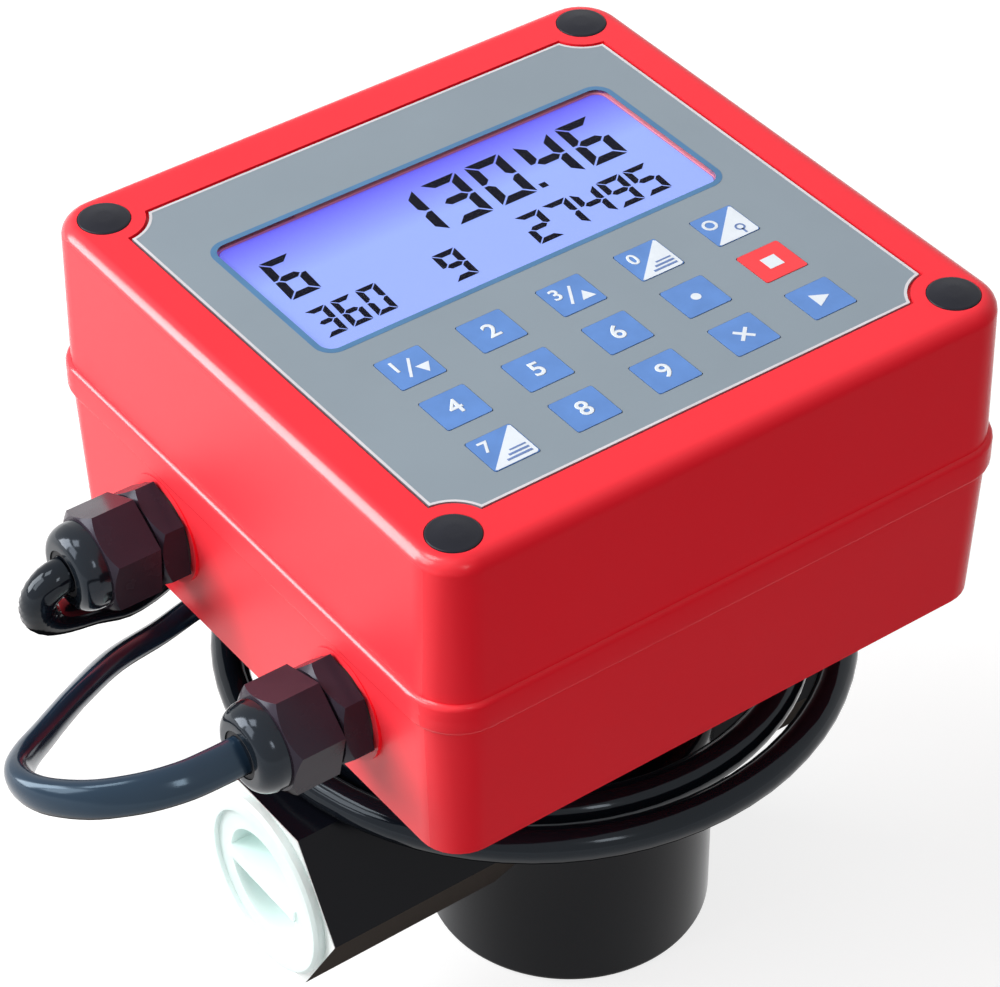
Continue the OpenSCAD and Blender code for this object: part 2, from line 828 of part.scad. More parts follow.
module gland_seals() {
    color(lead_black) at_head() at_glands() translate([0, 0, lead_start_x - seal_in])
        difference() {
            cylinder(seal_in, r = gland_bore_r - seal_gap, $fn = 64);
            translate([0, 0, -over]) cylinder(seal_in + 2 * over, r = seal_bore_r, $fn = 64);
        }
}

module gland_locknuts() {
    color(gland_black) at_head() at_glands()
        translate([0, 0, inner_half - locknut_t - screw_gap]) difference() {
            rotate(locknut_turn) hex_prism(gland_af + locknut_over, locknut_t);
            translate([0, 0, -over])
                cylinder(locknut_t + 2 * over, r = gland_thread_r + screw_gap, $fn = 64);
        }
}

module gland_washers() {
    color(lead_black) at_head() at_glands() translate([0, 0, pad_x]) difference() {
        cylinder(washer_t, r = washer_out_r, $fn = 64);
        translate([0, 0, -over])
            cylinder(washer_t + 2 * over, r = gland_thread_r + screw_gap, $fn = 64);
    }
}

module lead_tails() {
    color(lead_black) at_head() at_glands() translate([0, 0, pad_x - sleeve_in - tail_in])
        cylinder(lead_start_x - pad_x + sleeve_in + tail_in, r = tail_r, $fn = 64);
}

module lead_cores() {
    color([0.5, 0.3, 0.2]) at_head() for (side = [-1, 1]) for (i = [-1, 0, 1])
        translate([-pad_x + sleeve_in + tail_in, side * gland_y - gland_fwd + i * core_spread, gland_z])
            rotate([0, 90, 0]) cylinder(core_len, r = core_r, $fn = 24);
}

// Leads

function unit(v) = v / norm(v);
// A point on the smooth curve through a route, between points i and i + 1
function curve_point(route, i, t) =
    let (last = len(route) - 1,
        a = i > 0 ? route[i - 1] : 2 * route[0] - route[1],
        b = route[i], c = route[i + 1],
        d = i + 2 <= last ? route[i + 2] : 2 * route[last] - route[last - 1])
    (2 * b + (c - a) * t + (2 * a - 5 * b + 4 * c - d) * t * t
        + (3 * b - a - 3 * c + d) * t * t * t) / 2;
function smooth(route, steps) = concat(
    [for (i = [0 : len(route) - 2]) for (k = [0 : steps - 1]) curve_point(route, i, k / steps)],
    [route[len(route) - 1]]);
function heading(path, i) =
    unit(path[min(i + 1, len(path) - 1)] - path[max(i - 1, 0)]);
// One cross-section: an ellipse of the lead's width and thickness
function section(centre, along, broad, w, t, sides) =
    let (side = unit(broad - (broad * along) * along), up = cross(along, side))
    [for (k = [0 : sides - 1]) let (a = 360 * (k + 0.5) / sides)
        centre + side * w / 2 * cos(a) + up * t / 2 * sin(a)];

module swept_tube(path, broads, w, t, sides) {
    rings = len(path);
    points = [for (i = [0 : rings - 1])
        each section(path[i], heading(path, i), broads[i], w, t, sides)];
    walls = [for (i = [0 : rings - 2]) for (k = [0 : sides - 1])
        let (a = i * sides + k, b = i * sides + (k + 1) % sides)
        each [[a, a + sides, b + sides], [a, b + sides, b]]];
    start = [for (k = [1 : sides - 2]) [0, k, k + 1]];
    end = [for (k = [1 : sides - 2])
        [(rings - 1) * sides, (rings - 1) * sides + k + 1, (rings - 1) * sides + k]];
    polyhedron(points, concat(start, walls, end));
}

module front_lead() {
    path = smooth(front_route, lead_steps);
    broads = smooth(front_broad, lead_steps);
    color(lead_black) swept_tube(path, broads, flat_w, flat_t, flat_sides);
}

module back_lead() {
    path = smooth(back_route, lead_steps);
    color(lead_black)
        swept_tube(path, [for (p = path) [0, 0.2, 1]], lead_d, lead_d, lead_sides);
}

function coil_point(turn) =
    let (a = coil_start - 360 * turn, r = coil_r - coil_pitch * turn)
    [coil_x + r * cos(a), coil_y + r * sin(a), coil_z];
coil_last = round(coil_turns * coil_rings);
coil_loop = [for (i = [0 : coil_last]) coil_point(i / coil_rings)];
coil_path = concat(
    [coil_loop[0] - lead_d / 2 * unit(coil_loop[1] - coil_loop[0])],
    coil_loop,
    [coil_loop[coil_last] + lead_d * unit(coil_loop[coil_last] - coil_loop[coil_last - 1])]);
// The least gap between one turn and the next, measured on the coil's points
coil_least_gap = min([for (i = [0 : coil_last - coil_rings])
    norm(coil_loop[i] - coil_loop[i + coil_rings])]) - lead_d;
echo(coil_least_gap = coil_least_gap);

module back_lead_coil() {
    color(lead_black)
        swept_tube(coil_path, [for (p = coil_path) [0, 0, 1]], lead_d, lead_d, coil_sides);
}

coil_end = coil_path[len(coil_path) - 1];
coil_end_way = heading(coil_path, len(coil_path) - 1);
coil_end_turn = atan2(coil_end_way[1], coil_end_way[0]);

module back_lead_ends() {
    color([0.75, 0.3, 0.2]) translate(coil_end) rotate(coil_end_turn)
        for (i = [-1, 0, 1]) translate([0, i * end_core_spread, 0]) rotate([0, 90, 0]) {
            cylinder(end_core_len, r = end_core_r, $fn = 24);
            translate([0, 0, end_core_len - ferrule_len / 2])
                cylinder(ferrule_len, r = ferrule_r, $fn = 24);
        }
}

module coil_tie() {
    tie_first = (coil_start - tie_angle) / 360;
    out_r = coil_r - coil_pitch * tie_first;
    in_r = out_r - 2 * coil_pitch;
    span = out_r - in_r;
    slot = lead_d + 2 * tie_gap;
    color(gland_black) translate([coil_x, coil_y, coil_z]) rotate(tie_angle)
        translate([in_r, 0, 0]) rotate([90, 0, 0]) translate([0, 0, -tie_w / 2]) {
            linear_extrude(tie_w) difference() {
                tie_outline(span, slot / 2 + tie_t);
                tie_outline(span, slot / 2);
            }
            translate([span / 2 - tie_head_w / 2, slot / 2 + tie_t - press_gap, -tie_t / 2])
                cube([tie_head_w, tie_head_t, tie_w + tie_t]);
            translate([span / 2 + tie_head_w / 2 - press_gap, slot / 2 + tie_t, 0])
                cube([tie_tail_len, tie_t, tie_w]);
        }
}

module tie_outline(span, r) {
    translate([0, -r]) square([span, 2 * r]);
    for (x = [0, span]) translate([x, 0]) circle(r, $fn = 48);
}

module neck_grommet() {
    color(lead_black) translate([0, 0, lead_entry_z]) rotate(grommet_angle)
        rotate([0, 90, 0]) difference() {
            union() {
                translate([0, 0, neck_bore_r]) cylinder(neck_r - neck_bore_r + over,
                    r = grommet_r - screw_gap, $fn = 48);
                translate([0, 0, neck_r]) cylinder(grommet_lip_t, r = grommet_lip_r, $fn = 48);
            }
            cylinder(neck_flange_r, r = sensor_lead_r + screw_gap, $fn = 32);
        }
}

// Meter

module bar_hex(reach_in, reach_out, af) {
    translate([-reach_in, 0, bar_z]) rotate([0, 90, 0]) rotate(30)
        hex_prism(af, reach_in + reach_out);
}

module gear_places() {
    for (side = [-1, 1]) translate([0, side * gear_off, 0]) children();
}

module cover_screw_places() {
    for (a = cover_screw_angles) rotate(a) translate([cover_screw_ring, 0, 0]) children();
}

// One pipe port with its passage, opening along +X
module port_cut(reach) {
    translate([web_half_t, 0, bar_z]) rotate([0, 90, 0])
        cylinder(reach - web_half_t, r = passage_r, $fn = 64);
    translate([reach - port_depth, 0, bar_z]) rotate([0, 90, 0])
        cylinder(port_depth + over, r = port_r, $fn = 96);
    translate([reach - port_chamfer, 0, bar_z]) rotate([0, 90, 0])
        cylinder(port_chamfer + over, r1 = port_r, r2 = port_r + port_chamfer + over, $fn = 96);
    translate([pocket_x, 0, cover_t]) cylinder(bar_z - cover_t, r = pocket_r, $fn = 48);
}

module cup_outside() {
    rotate_extrude($fn = 128) polygon(concat([[0, 0]],
        [for (a = [0 : 15 : 90]) [cup_r - cup_foot_round * (1 - sin(a)),
            cup_foot_round * (1 - cos(a))]],
        [for (a = [0 : 15 : 90]) [cup_r - cup_round * (1 - cos(a)),
            cup_h - cup_round * (1 - sin(a))]],
        [[0, cup_h]]));
}

// The pipe bar is one casting with the chamber, and its two ends are nodes of their own
module inlet_arm() {
    color(glossy_black) difference() {
        translate([-inlet_reach, 0, bar_z]) rotate([0, 90, 0]) rotate(30)
            hex_prism(bar_af, inlet_reach - arm_x);
        mirror([1, 0, 0]) port_cut(inlet_reach);
    }
}

module outlet_arm() {
    color(glossy_black) difference() {
        translate([arm_x, 0, bar_z]) rotate([0, 90, 0]) rotate(30)
            hex_prism(bar_af, outlet_reach - arm_x);
        port_cut(outlet_reach);
    }
}

module meter_body() {
    color(glossy_black) difference() {
        union() {
            bar_hex(arm_x, arm_x, bar_af);
            cup_outside();
            translate([0, 0, cup_h - cup_round]) cylinder(boss_top - cup_h + cup_round,
                r = boss_r, $fn = 96);
        }
        port_cut(outlet_reach);
        mirror([1, 0, 0]) port_cut(inlet_reach);
        gear_places() {
            translate([0, 0, cover_t - over]) cylinder(chamber_h + over, r = chamber_r, $fn = 96);
            translate([0, 0, chamber_top - over])
                cylinder(shaft_seat + over, r = shaft_r + screw_gap, $fn = 48);
        }
        translate([0, 0, -over]) cylinder(cover_t + over, r = cover_r + cover_gap, $fn = 128);
        cover_screw_places() translate([0, 0, -over])
            cylinder(cover_screw_len + cover_screw_head_h + over,
                r = cover_screw_r + screw_gap, $fn = 32);
        translate([0, 0, boss_top - spigot_h])
            cylinder(spigot_h + over, r = spigot_r + screw_gap, $fn = 96);
        translate([0, 0, chamber_top + sensor_floor])
            cylinder(boss_top, r = sensor_r + screw_gap, $fn = 48);
    }
}

module neck_adapter() {
    color(glossy_black) difference() {
        union() {
            translate([0, 0, boss_top - spigot_h]) cylinder(spigot_h + over, r = spigot_r, $fn = 96);
            translate([0, 0, boss_top]) cylinder(head_z - boss_top, r = neck_r, $fn = 96);
            translate([0, 0, head_z - neck_flange_t])
                cylinder(neck_flange_t, r = neck_flange_r, $fn = 96);
        }
        translate([0, 0, boss_top - spigot_h - over])
            cylinder(head_z - boss_top + spigot_h + 2 * over, r = neck_bore_r, $fn = 64);
        neck_screw_places() translate([0, 0, head_z - neck_flange_t - over])
            cylinder(neck_flange_t + 2 * over, r = neck_screw_r + screw_gap, $fn = 32);
        translate([0, 0, head_z - neck_seal_h]) neck_ring(neck_seal_h + over);
        translate([0, 0, lead_entry_z]) rotate(grommet_angle) rotate([0, 90, 0])
            cylinder(neck_flange_r, r = grommet_r, $fn = 48);
    }
}

module neck_ring(h) {
    difference() {
        cylinder(h, r = neck_seal_r + neck_seal_w, $fn = 96);
        translate([0, 0, -over]) cylinder(h + 2 * over, r = neck_seal_r, $fn = 96);
    }
}

module neck_gasket() {
    color(lead_black) translate([0, 0, head_z - neck_seal_h]) neck_ring(neck_seal_h);
}

module neck_screws() {
    color(steel) translate([0, 0, head_z + floor_t]) neck_screw_places()
        socket_screw(neck_screw_r, neck_screw_len, neck_screw_head_r, neck_screw_head_h);
}

module chamber_cover() {
    color(glossy_black) difference() {
        cylinder(cover_t, r = cover_r, $fn = 128);
        translate([0, 0, oring_z - oring_r]) difference() {
            cylinder(2 * oring_r, r = cover_r + over, $fn = 128);
            translate([0, 0, -over])
                cylinder(2 * oring_r + 2 * over, r = cover_r - 2 * oring_r, $fn = 128);
        }
        gear_places() translate([0, 0, cover_t - shaft_seat])
            cylinder(shaft_seat + over, r = shaft_r + screw_gap, $fn = 48);
        cover_screw_places() translate([0, 0, -over]) {
            cylinder(cover_t + 2 * over, r = cover_screw_r + screw_gap, $fn = 32);
            cylinder(cover_screw_head_h + over + rest_gap, r = cover_screw_head_r + rest_gap,
                $fn = 48);
        }
    }
}

module cover_oring() {
    color(lead_black) translate([0, 0, oring_z]) rotate_extrude($fn = 96)
        translate([cover_r - oring_r, 0]) circle(oring_r, $fn = 32);
}

module cover_screws() {
    color(steel) cover_screw_places() translate([0, 0, cover_screw_head_h + rest_gap])
        mirror([0, 0, 1]) socket_screw(cover_screw_r, cover_screw_len - rest_gap,
            cover_screw_head_r, cover_screw_head_h);
}

// Oval gears: the pitch line is a two-lobed curve that rolls on its own copy

gear_step = 2;
function pitch_r(a) = 2 * gear_long * gear_short
    / (gear_long + gear_short - (gear_long - gear_short) * cos(2 * a));
function pitch_xy(a) = pitch_r(a) * [cos(a), sin(a)];
function arc_sums(n) = [for (i = 0, s = 0; i <= n; i = i + 1,
    s = s + norm(pitch_xy(i * gear_step) - pitch_xy((i - 1) * gear_step))) s];
gear_arcs = arc_sums(360 / gear_step);
gear_outline = [for (i = [0 : 360 / gear_step - 1])
    let (a = i * gear_step, phase = 360 * gear_teeth * gear_arcs[i] / gear_arcs[360 / gear_step])
    (pitch_r(a) - gear_slack + tooth_half_h * cos(phase)) * [cos(a), sin(a)]];

module oval_gear(side, turn) {
    translate([0, side * gear_off, cover_t + gear_end_gap]) rotate(turn) difference() {
        linear_extrude(gear_h) polygon(gear_outline);
        translate([0, 0, -over]) cylinder(gear_h + 2 * over, r = bush_r, $fn = 64);
        if (side > 0) for (way = [-1, 1])
            translate([way * magnet_off, 0, gear_h - magnet_h])
                cylinder(magnet_h + over, r = magnet_r, $fn = 32);
    }
}

module gear_bush(side) {
    translate([0, side * gear_off, cover_t + gear_end_gap]) difference() {
        cylinder(gear_h, r = bush_r - press_gap, $fn = 64);
        translate([0, 0, -over]) cylinder(gear_h + 2 * over, r = shaft_r + run_gap, $fn = 48);
    }
}

module gear_a() { color(steel) oval_gear(1, 90); }
module gear_b() { color(steel) oval_gear(-1, 0); }
module gear_a_bush() { color([0.25, 0.25, 0.27]) gear_bush(1); }
module gear_b_bush() { color([0.25, 0.25, 0.27]) gear_bush(-1); }

module gear_shafts() {
    color(steel) gear_places() translate([0, 0, cover_t - shaft_seat])
        cylinder(chamber_h + 2 * shaft_seat - screw_gap, r = shaft_r, $fn = 48);
}

module gear_magnets() {
    color([0.6, 0.6, 0.65]) translate([0, gear_off, chamber_top - gear_end_gap - magnet_h])
        for (way = [-1, 1]) translate([0, way * magnet_off, 0])
            cylinder(magnet_h - press_gap, r = magnet_r - press_gap, $fn = 32);
}

module pulse_sensor() {
    sensor_z = chamber_top + sensor_floor;
    color(panel_grey) {
        translate([0, 0, sensor_z]) {
            cylinder(boss_top - sensor_z, r = sensor_r, $fn = 48);
            cylinder(lead_entry_z + sensor_lead_r - sensor_z, r = sensor_stem_r, $fn = 48);
        }
        translate([0, 0, lead_entry_z]) rotate(grommet_angle) rotate([0, 90, 0])
            cylinder(neck_r + grommet_lip_t, r = sensor_lead_r, $fn = 32);
    }
}

module inlet_strainer() {
    start = port_depth - inlet_reach;
    row_pitch = strainer_len / (strainer_rows + 1);
    color(steel) translate([start, 0, bar_z]) rotate([0, 90, 0]) difference() {
        union() {
            translate([0, 0, -strainer_lip_t]) cylinder(strainer_lip_t, r = strainer_lip_r, $fn = 64);
            translate([0, 0, -strainer_lip_t])
                cylinder(strainer_len + strainer_lip_t, r = passage_r - rest_gap, $fn = 64);
        }
        translate([0, 0, -strainer_lip_t - over])
            cylinder(strainer_len + strainer_lip_t + over - strainer_wall,
                r = passage_r - rest_gap - strainer_wall, $fn = 64);
        for (row = [1 : strainer_rows]) for (i = [0 : strainer_holes - 1])
            translate([0, 0, row * row_pitch]) rotate([0, 0, 360 * i / strainer_holes])
                rotate([0, 90, 0]) cylinder(passage_r, r = strainer_hole_r, $fn = 16);
    }
}

module inlet_plug() {
    color(plug_white) translate([-inlet_reach, 0, bar_z]) along_minus_x() {
        difference() {
            union() {
                rotate_extrude($fn = 96) polygon([[0, 0], [plug_flange_r, 0],
                    [plug_flange_r, plug_flange_t - plug_round],
                    [plug_flange_r - plug_round, plug_flange_t], [0, plug_flange_t]]);
                translate([0, 0, -plug_len])
                    cylinder(plug_len + over, r = port_r - plug_gap, $fn = 96);
            }
            translate([0, 0, plug_flange_t - plug_dish])
                cylinder(plug_dish + over, r = plug_flange_r - plug_rim_w, $fn = 96);
            translate([0, 0, plug_floor - plug_len])
                cylinder(plug_len + plug_flange_t, r = port_r - plug_gap - plug_wall, $fn = 96);
        }
        translate([-plug_bar_t / 2, plug_wall - port_r, plug_floor - plug_len - over])
            cube([plug_bar_t, 2 * (port_r - plug_wall), plug_len + plug_flange_t - plug_floor]);
    }
}

head_base();
head_lid();
lid_gasket();
overlay_panel();
display_window();
lcd_glass();
lcd_backlight();
display_board();
board_screws();
key_switches();
main_board();
terminal_block();
lid_screws();
corner_caps();
key_1();
key_2();
key_3();
key_0();
key_lock();
key_4();
key_5();
key_6();
key_point();
key_stop();
key_7();
key_8();
key_9();
key_clear();
key_start();
gland_bodies();
gland_nuts();
gland_seals();
gland_locknuts();
gland_washers();
lead_tails();
lead_cores();
front_lead();
back_lead();
back_lead_coil();
back_lead_ends();
coil_tie();
neck_grommet();
meter_body();
inlet_arm();
outlet_arm();
neck_adapter();
neck_gasket();
neck_screws();
chamber_cover();
cover_oring();
cover_screws();
gear_a();
gear_b();
gear_a_bush();
gear_b_bush();
gear_shafts();
gear_magnets();
pulse_sensor();
inlet_strainer();
inlet_plug();
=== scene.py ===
import math

import bmesh
import bpy
from mathutils import Matrix, Vector


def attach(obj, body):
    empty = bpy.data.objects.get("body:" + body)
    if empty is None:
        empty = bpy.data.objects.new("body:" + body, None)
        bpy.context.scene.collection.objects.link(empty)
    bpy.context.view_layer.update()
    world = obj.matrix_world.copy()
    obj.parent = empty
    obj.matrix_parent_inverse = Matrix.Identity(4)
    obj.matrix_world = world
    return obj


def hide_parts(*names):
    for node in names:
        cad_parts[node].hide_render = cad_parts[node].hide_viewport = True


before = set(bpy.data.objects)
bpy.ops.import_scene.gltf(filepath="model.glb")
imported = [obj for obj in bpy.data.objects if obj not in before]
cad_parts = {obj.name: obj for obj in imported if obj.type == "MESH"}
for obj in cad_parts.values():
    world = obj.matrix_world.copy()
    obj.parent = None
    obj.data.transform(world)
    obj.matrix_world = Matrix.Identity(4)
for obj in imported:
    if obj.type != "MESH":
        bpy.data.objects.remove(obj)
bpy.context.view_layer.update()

# Places and sizes on the part are in millimetres, and what the materials, modifiers, lamps
# and floor are given is in metres
MM = 0.001
METER = "meter"
HEAD_X, HEAD_Y = -7.0, 9.0
SEAM_Z = 147.5
PANEL_TOP = 187.8
LCD_TOP = 186.8


def mm(x, y, z):
    return Vector((x, y, z)) * MM


def on_head(x, y, z):
    """A point given from the head's centre, in millimetres."""
    return mm(x + HEAD_X, y + HEAD_Y, z)


# Camera, fitted to the photograph
IMAGE_W = 1000
FOCAL_PX = 3673.49
SENSOR = 36.0
CLIP_NEAR, CLIP_FAR = 0.02, 20
RIGHT = Vector((0.80654, -0.59117, -0.00424))
DOWN = Vector((-0.38427, -0.51879, -0.76367))
FORWARD = Vector((0.44926, 0.61756, -0.64559))
EYE = mm(-383.785, -500.104, 656.796)

camera_data = bpy.data.cameras.new("camera")
camera_data.sensor_width = SENSOR
camera_data.lens = FOCAL_PX * SENSOR / IMAGE_W
camera_data.clip_start, camera_data.clip_end = CLIP_NEAR, CLIP_FAR
camera = bpy.data.objects.new("camera", camera_data)
bpy.context.scene.collection.objects.link(camera)
turn = Matrix((RIGHT, -DOWN, -FORWARD)).transposed().to_4x4()
camera.matrix_world = Matrix.Translation(EYE) @ turn
bpy.context.scene.camera = camera


# Building blocks

# Edges that turn by more degrees than these stay sharp
TUBE_CREASE, FILM_CREASE = 60, 40


def new_object(name, mesh, made, body=METER):
    piece = bpy.data.objects.new(name, mesh)
    bpy.context.scene.collection.objects.link(piece)
    mesh.materials.clear()
    mesh.materials.append(made)
    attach(piece, body)
    return piece


def mesh_from(name, points, faces, crease=None):
    mesh = bpy.data.meshes.new(name)
    mesh.from_pydata([tuple(p) for p in points], [], faces)
    work = bmesh.new()
    work.from_mesh(mesh)
    bmesh.ops.recalc_face_normals(work, faces=work.faces)
    work.to_mesh(mesh)
    work.free()
    if crease is not None:
        mesh.polygons.foreach_set("use_smooth", [True] * len(mesh.polygons))
        mesh.set_sharp_from_angle(angle=math.radians(crease))
    return mesh


def curve_point(route, i, t):
    """The Catmull-Rom curve's point at a share t of the way from route[i] to the next point."""
    last = len(route) - 1
    b, c = route[i], route[i + 1]
    a = route[i - 1] if i > 0 else 2 * route[0] - route[1]
    d = route[i + 2] if i + 2 <= last else 2 * route[last] - route[last - 1]
    return (2 * b + (c - a) * t + (2 * a - 5 * b + 4 * c - d) * t * t
            + (3 * b - a - 3 * c + d) * t ** 3) / 2


def smooth_route(route, steps):
    """A smooth curve through every point of the route, with some steps from each to the next."""
    made = [curve_point(route, i, k / steps)
            for i in range(len(route) - 1) for k in range(steps)]
    return made + [route[-1]]


def swept_tube(name, path, broads, wide, thick, sides, power=2.0):
    """A closed tube along path: an ellipse, or a squarer oval with a higher power."""
    points, faces = [], []
    last = len(path) - 1
    for i, centre in enumerate(path):
        along = (path[min(i + 1, last)] - path[max(i - 1, 0)]).normalized()
        side = (broads[i] - broads[i].dot(along) * along).normalized()
        up = along.cross(side)
        for k in range(sides):
            a = math.tau * (k + 0.5) / sides
            c, s = math.cos(a), math.sin(a)
            x = math.copysign(abs(c) ** (2 / power), c) * wide / 2
            y = math.copysign(abs(s) ** (2 / power), s) * thick / 2
            points.append(centre + side * x + up * y)
    for i in range(last):
        for k in range(sides):
            a, b = i * sides + k, i * sides + (k + 1) % sides
            faces.append((a, b, b + sides, a + sides))
    faces.append(tuple(range(sides)))
    faces.append(tuple(last * sides + k for k in range(sides)))
    return mesh_from(name, points, faces, TUBE_CREASE)


def prism(outline, z_low, z_high):
    """A flat outline of (x, y) points from the head's centre, between two heights."""
    n = len(outline)
    points = [on_head(x, y, z) for z in (z_low, z_high) for x, y in outline]
    faces = [tuple(range(n))[::-1], tuple(range(n, 2 * n))]
    faces += [(i, (i + 1) % n, n + (i + 1) % n, n + i) for i in range(n)]
    return points, faces


def joined_prisms(name, outlines, z_low, z_high):
    points, faces = [], []
    for outline in outlines:
        p, f = prism(outline, z_low, z_high)
        base = len(points)
        points += p
        faces += [tuple(base + i for i in face) for face in f]
    return mesh_from(name, points, faces)


# Shader nodes

# A mix node's two inputs and its output, by the kind of data
MIX_SOCKETS = {"RGBA": (6, 7, 2), "FLOAT": (2, 3, 0)}


def coordinates(tree, kind="Object"):
    """The X, Y and Z of the object coordinates, or of the surface's own normal."""
    split = tree.nodes.new("ShaderNodeSeparateXYZ")
    tree.links.new(tree.nodes["Texture Coordinate"].outputs[kind], split.inputs["Vector"])
    return split.outputs


def noise(tree, scale, detail):
    made = tree.nodes.new("ShaderNodeTexNoise")
    made.inputs["Scale"].default_value = scale
    made.inputs["Detail"].default_value = detail
    tree.links.new(tree.nodes["Texture Coordinate"].outputs["Object"], made.inputs["Vector"])
    return made.outputs["Fac"]


def math_node(tree, operation, first, second=None):
    """A math node fed by sockets or plain numbers."""
    made = tree.nodes.new("ShaderNodeMath")
    made.operation = operation
    for i, value in enumerate((first, second)):
        if value is None:
            continue
        if isinstance(value, (int, float)):
            made.inputs[i].default_value = value
        else:
            tree.links.new(value, made.inputs[i])
    return made.outputs[0]


def map_range(tree, value, low, high, to_low=0.0, to_high=1.0):
    """Takes the values from low to high to those from to_low to to_high, and stays at the ends."""
    made = tree.nodes.new("ShaderNodeMapRange")
    for name, number in (("From Min", low), ("From Max", high),
                         ("To Min", to_low), ("To Max", to_high)):
        made.inputs[name].default_value = number
    tree.links.new(value, made.inputs["Value"])
    return made.outputs["Result"]


def facing(tree, axis, none, full):
    """1 where the surface's own normal passes full along an axis, falling to 0 at none."""
    return map_range(tree, coordinates(tree, "Normal")[axis], none, full)


def background_mask(tree):
    """1 for camera, glossy and transmission rays, which see the plain white background."""
    rays = tree.nodes.new("ShaderNodeLightPath").outputs
    seen = math_node(tree, "MAXIMUM", rays["Is Camera Ray"], rays["Is Glossy Ray"])
    return math_node(tree, "MAXIMUM", seen, rays["Is Transmission Ray"])


def mix_in(made, name, mask, value):
    """Blends what reaches a shader socket with another colour or number where the mask is 1."""
    tree = made.node_tree
    socket = tree.nodes["Principled BSDF"].inputs[name]
    kind = "RGBA" if socket.type == "RGBA" else "FLOAT"
    kept, added, result = MIX_SOCKETS[kind]
    mix = tree.nodes.new("ShaderNodeMix")
    mix.data_type = kind
    if socket.is_linked:
        tree.links.new(socket.links[0].from_socket, mix.inputs[kept])
    else:
        mix.inputs[kept].default_value = socket.default_value
    mix.inputs[added].default_value = (*value, 1) if kind == "RGBA" else value
    tree.links.new(mask, mix.inputs["Factor"])
    tree.links.new(mix.outputs[result], socket)


# Materials

# The noise keeps mostly between these two values
NOISE_LOW, NOISE_HIGH = 0.3, 0.7
COLOR_DETAIL, GLOSS_DETAIL, BUMP_DETAIL = 4, 5, 3
# The gloss noise is finer than the colour noise by this factor
GLOSS_SCALE = 1.7
ROUGH_LEAST = 0.02
BUMP_DEPTH = 0.0002
# How far red, green and blue light spread inside a plastic
SCATTER = (0.01, 0.01, 0.0095)


def material(name, color, rough, metal=0.0, specular=0.5, reflection_tint=(1, 1, 1), vary=0.0,
             vary_scale=60.0, bump=0.0, bump_scale=400.0, rough_vary=0.0, emission=None,
             emit=0.0, subsurface=0.0, alpha=1.0):
    """A principled material whose colour drifts a little, with fine bump and uneven gloss."""
    made = bpy.data.materials.new(name)
    made.use_nodes = True
    tree = made.node_tree
    tree.nodes.new("ShaderNodeTexCoord")
    put = tree.nodes["Principled BSDF"].inputs
    put["Base Color"].default_value = (*color, 1)
    put["Roughness"].default_value = rough
    put["Metallic"].default_value = metal
    put["Specular IOR Level"].default_value = specular
    put["Specular Tint"].default_value = (*reflection_tint, 1)
    put["Alpha"].default_value = alpha
    if subsurface:
        put["Subsurface Weight"].default_value = subsurface
        put["Subsurface Radius"].default_value = SCATTER
        put["Subsurface Scale"].default_value = 1.0
    if emission:
        put["Emission Color"].default_value = (*emission, 1)
        put["Emission Strength"].default_value = emit
    if vary:
        ramp = tree.nodes.new("ShaderNodeValToRGB")
        for element, place, share in zip(ramp.color_ramp.elements, (NOISE_LOW, NOISE_HIGH),
                                         (1 - vary, 1 + vary)):
            element.position = place
            element.color = (*[min(1, c * share) for c in color], 1)
        tree.links.new(noise(tree, vary_scale, COLOR_DETAIL), ramp.inputs["Fac"])
        tree.links.new(ramp.outputs["Color"], put["Base Color"])
    if rough_vary:
        smear = noise(tree, vary_scale * GLOSS_SCALE, GLOSS_DETAIL)
        gloss = map_range(tree, smear, NOISE_LOW, NOISE_HIGH,
                          max(ROUGH_LEAST, rough - rough_vary), rough + rough_vary)
        tree.links.new(gloss, put["Roughness"])
    if bump:
        press = tree.nodes.new("ShaderNodeBump")
        press.inputs["Strength"].default_value = bump
        press.inputs["Distance"].default_value = BUMP_DEPTH
        tree.links.new(noise(tree, bump_scale, BUMP_DETAIL), press.inputs["Height"])
        tree.links.new(press.outputs["Normal"], put["Normal"])
    return made


RED = material("red_paint", (0.92, 0.029, 0.045), rough=0.22, specular=0.17, vary=0.03,
               vary_scale=25, bump=0.04, bump_scale=900, rough_vary=0.03)
GREY = material("panel_film", (0.25, 0.3, 0.345), rough=0.42, specular=0.2, vary=0.03,
                vary_scale=30, bump=0.05, bump_scale=2500, rough_vary=0.05)
# The panel rim's pale grey is partly a painted highlight on the panel's edge
RIM = material("panel_rim", (0.66, 0.64, 0.67), rough=0.3, specular=0.3, vary=0.08,
               vary_scale=90)
BORDER = material("window_border", (0.08, 0.2, 0.37), rough=0.4, specular=0.2, vary=0.08,
                  vary_scale=80)
KEY_BLUE = material("blue_key", (0.115, 0.25, 0.59), rough=0.38, specular=0.25, vary=0.07,
                    vary_scale=160, bump=0.05, bump_scale=1500)
KEY_RED = material("red_key", (0.9, 0.055, 0.065), rough=0.38, specular=0.25, vary=0.05,
                   vary_scale=160, bump=0.05, bump_scale=1500)
PRINT = material("white_print", (0.74, 0.79, 0.85), rough=0.4, vary=0.03, vary_scale=300)
PRINT_BLUE = material("blue_print", (0.13, 0.21, 0.45), rough=0.45, vary=0.04, vary_scale=300)
INK = material("display_ink", (0.002, 0.002, 0.008), rough=0.35, specular=0.05, vary=0.1,
               vary_scale=200)
LCD = material("display", (0.14, 0.17, 0.46), rough=0.3, specular=0.1, vary=0.02,
               vary_scale=40, emission=(0.32, 0.45, 1.0), emit=0.76)
WINDOW = material("clear_window", (0.02, 0.02, 0.05), rough=0.06, specular=0.3, alpha=0.04)
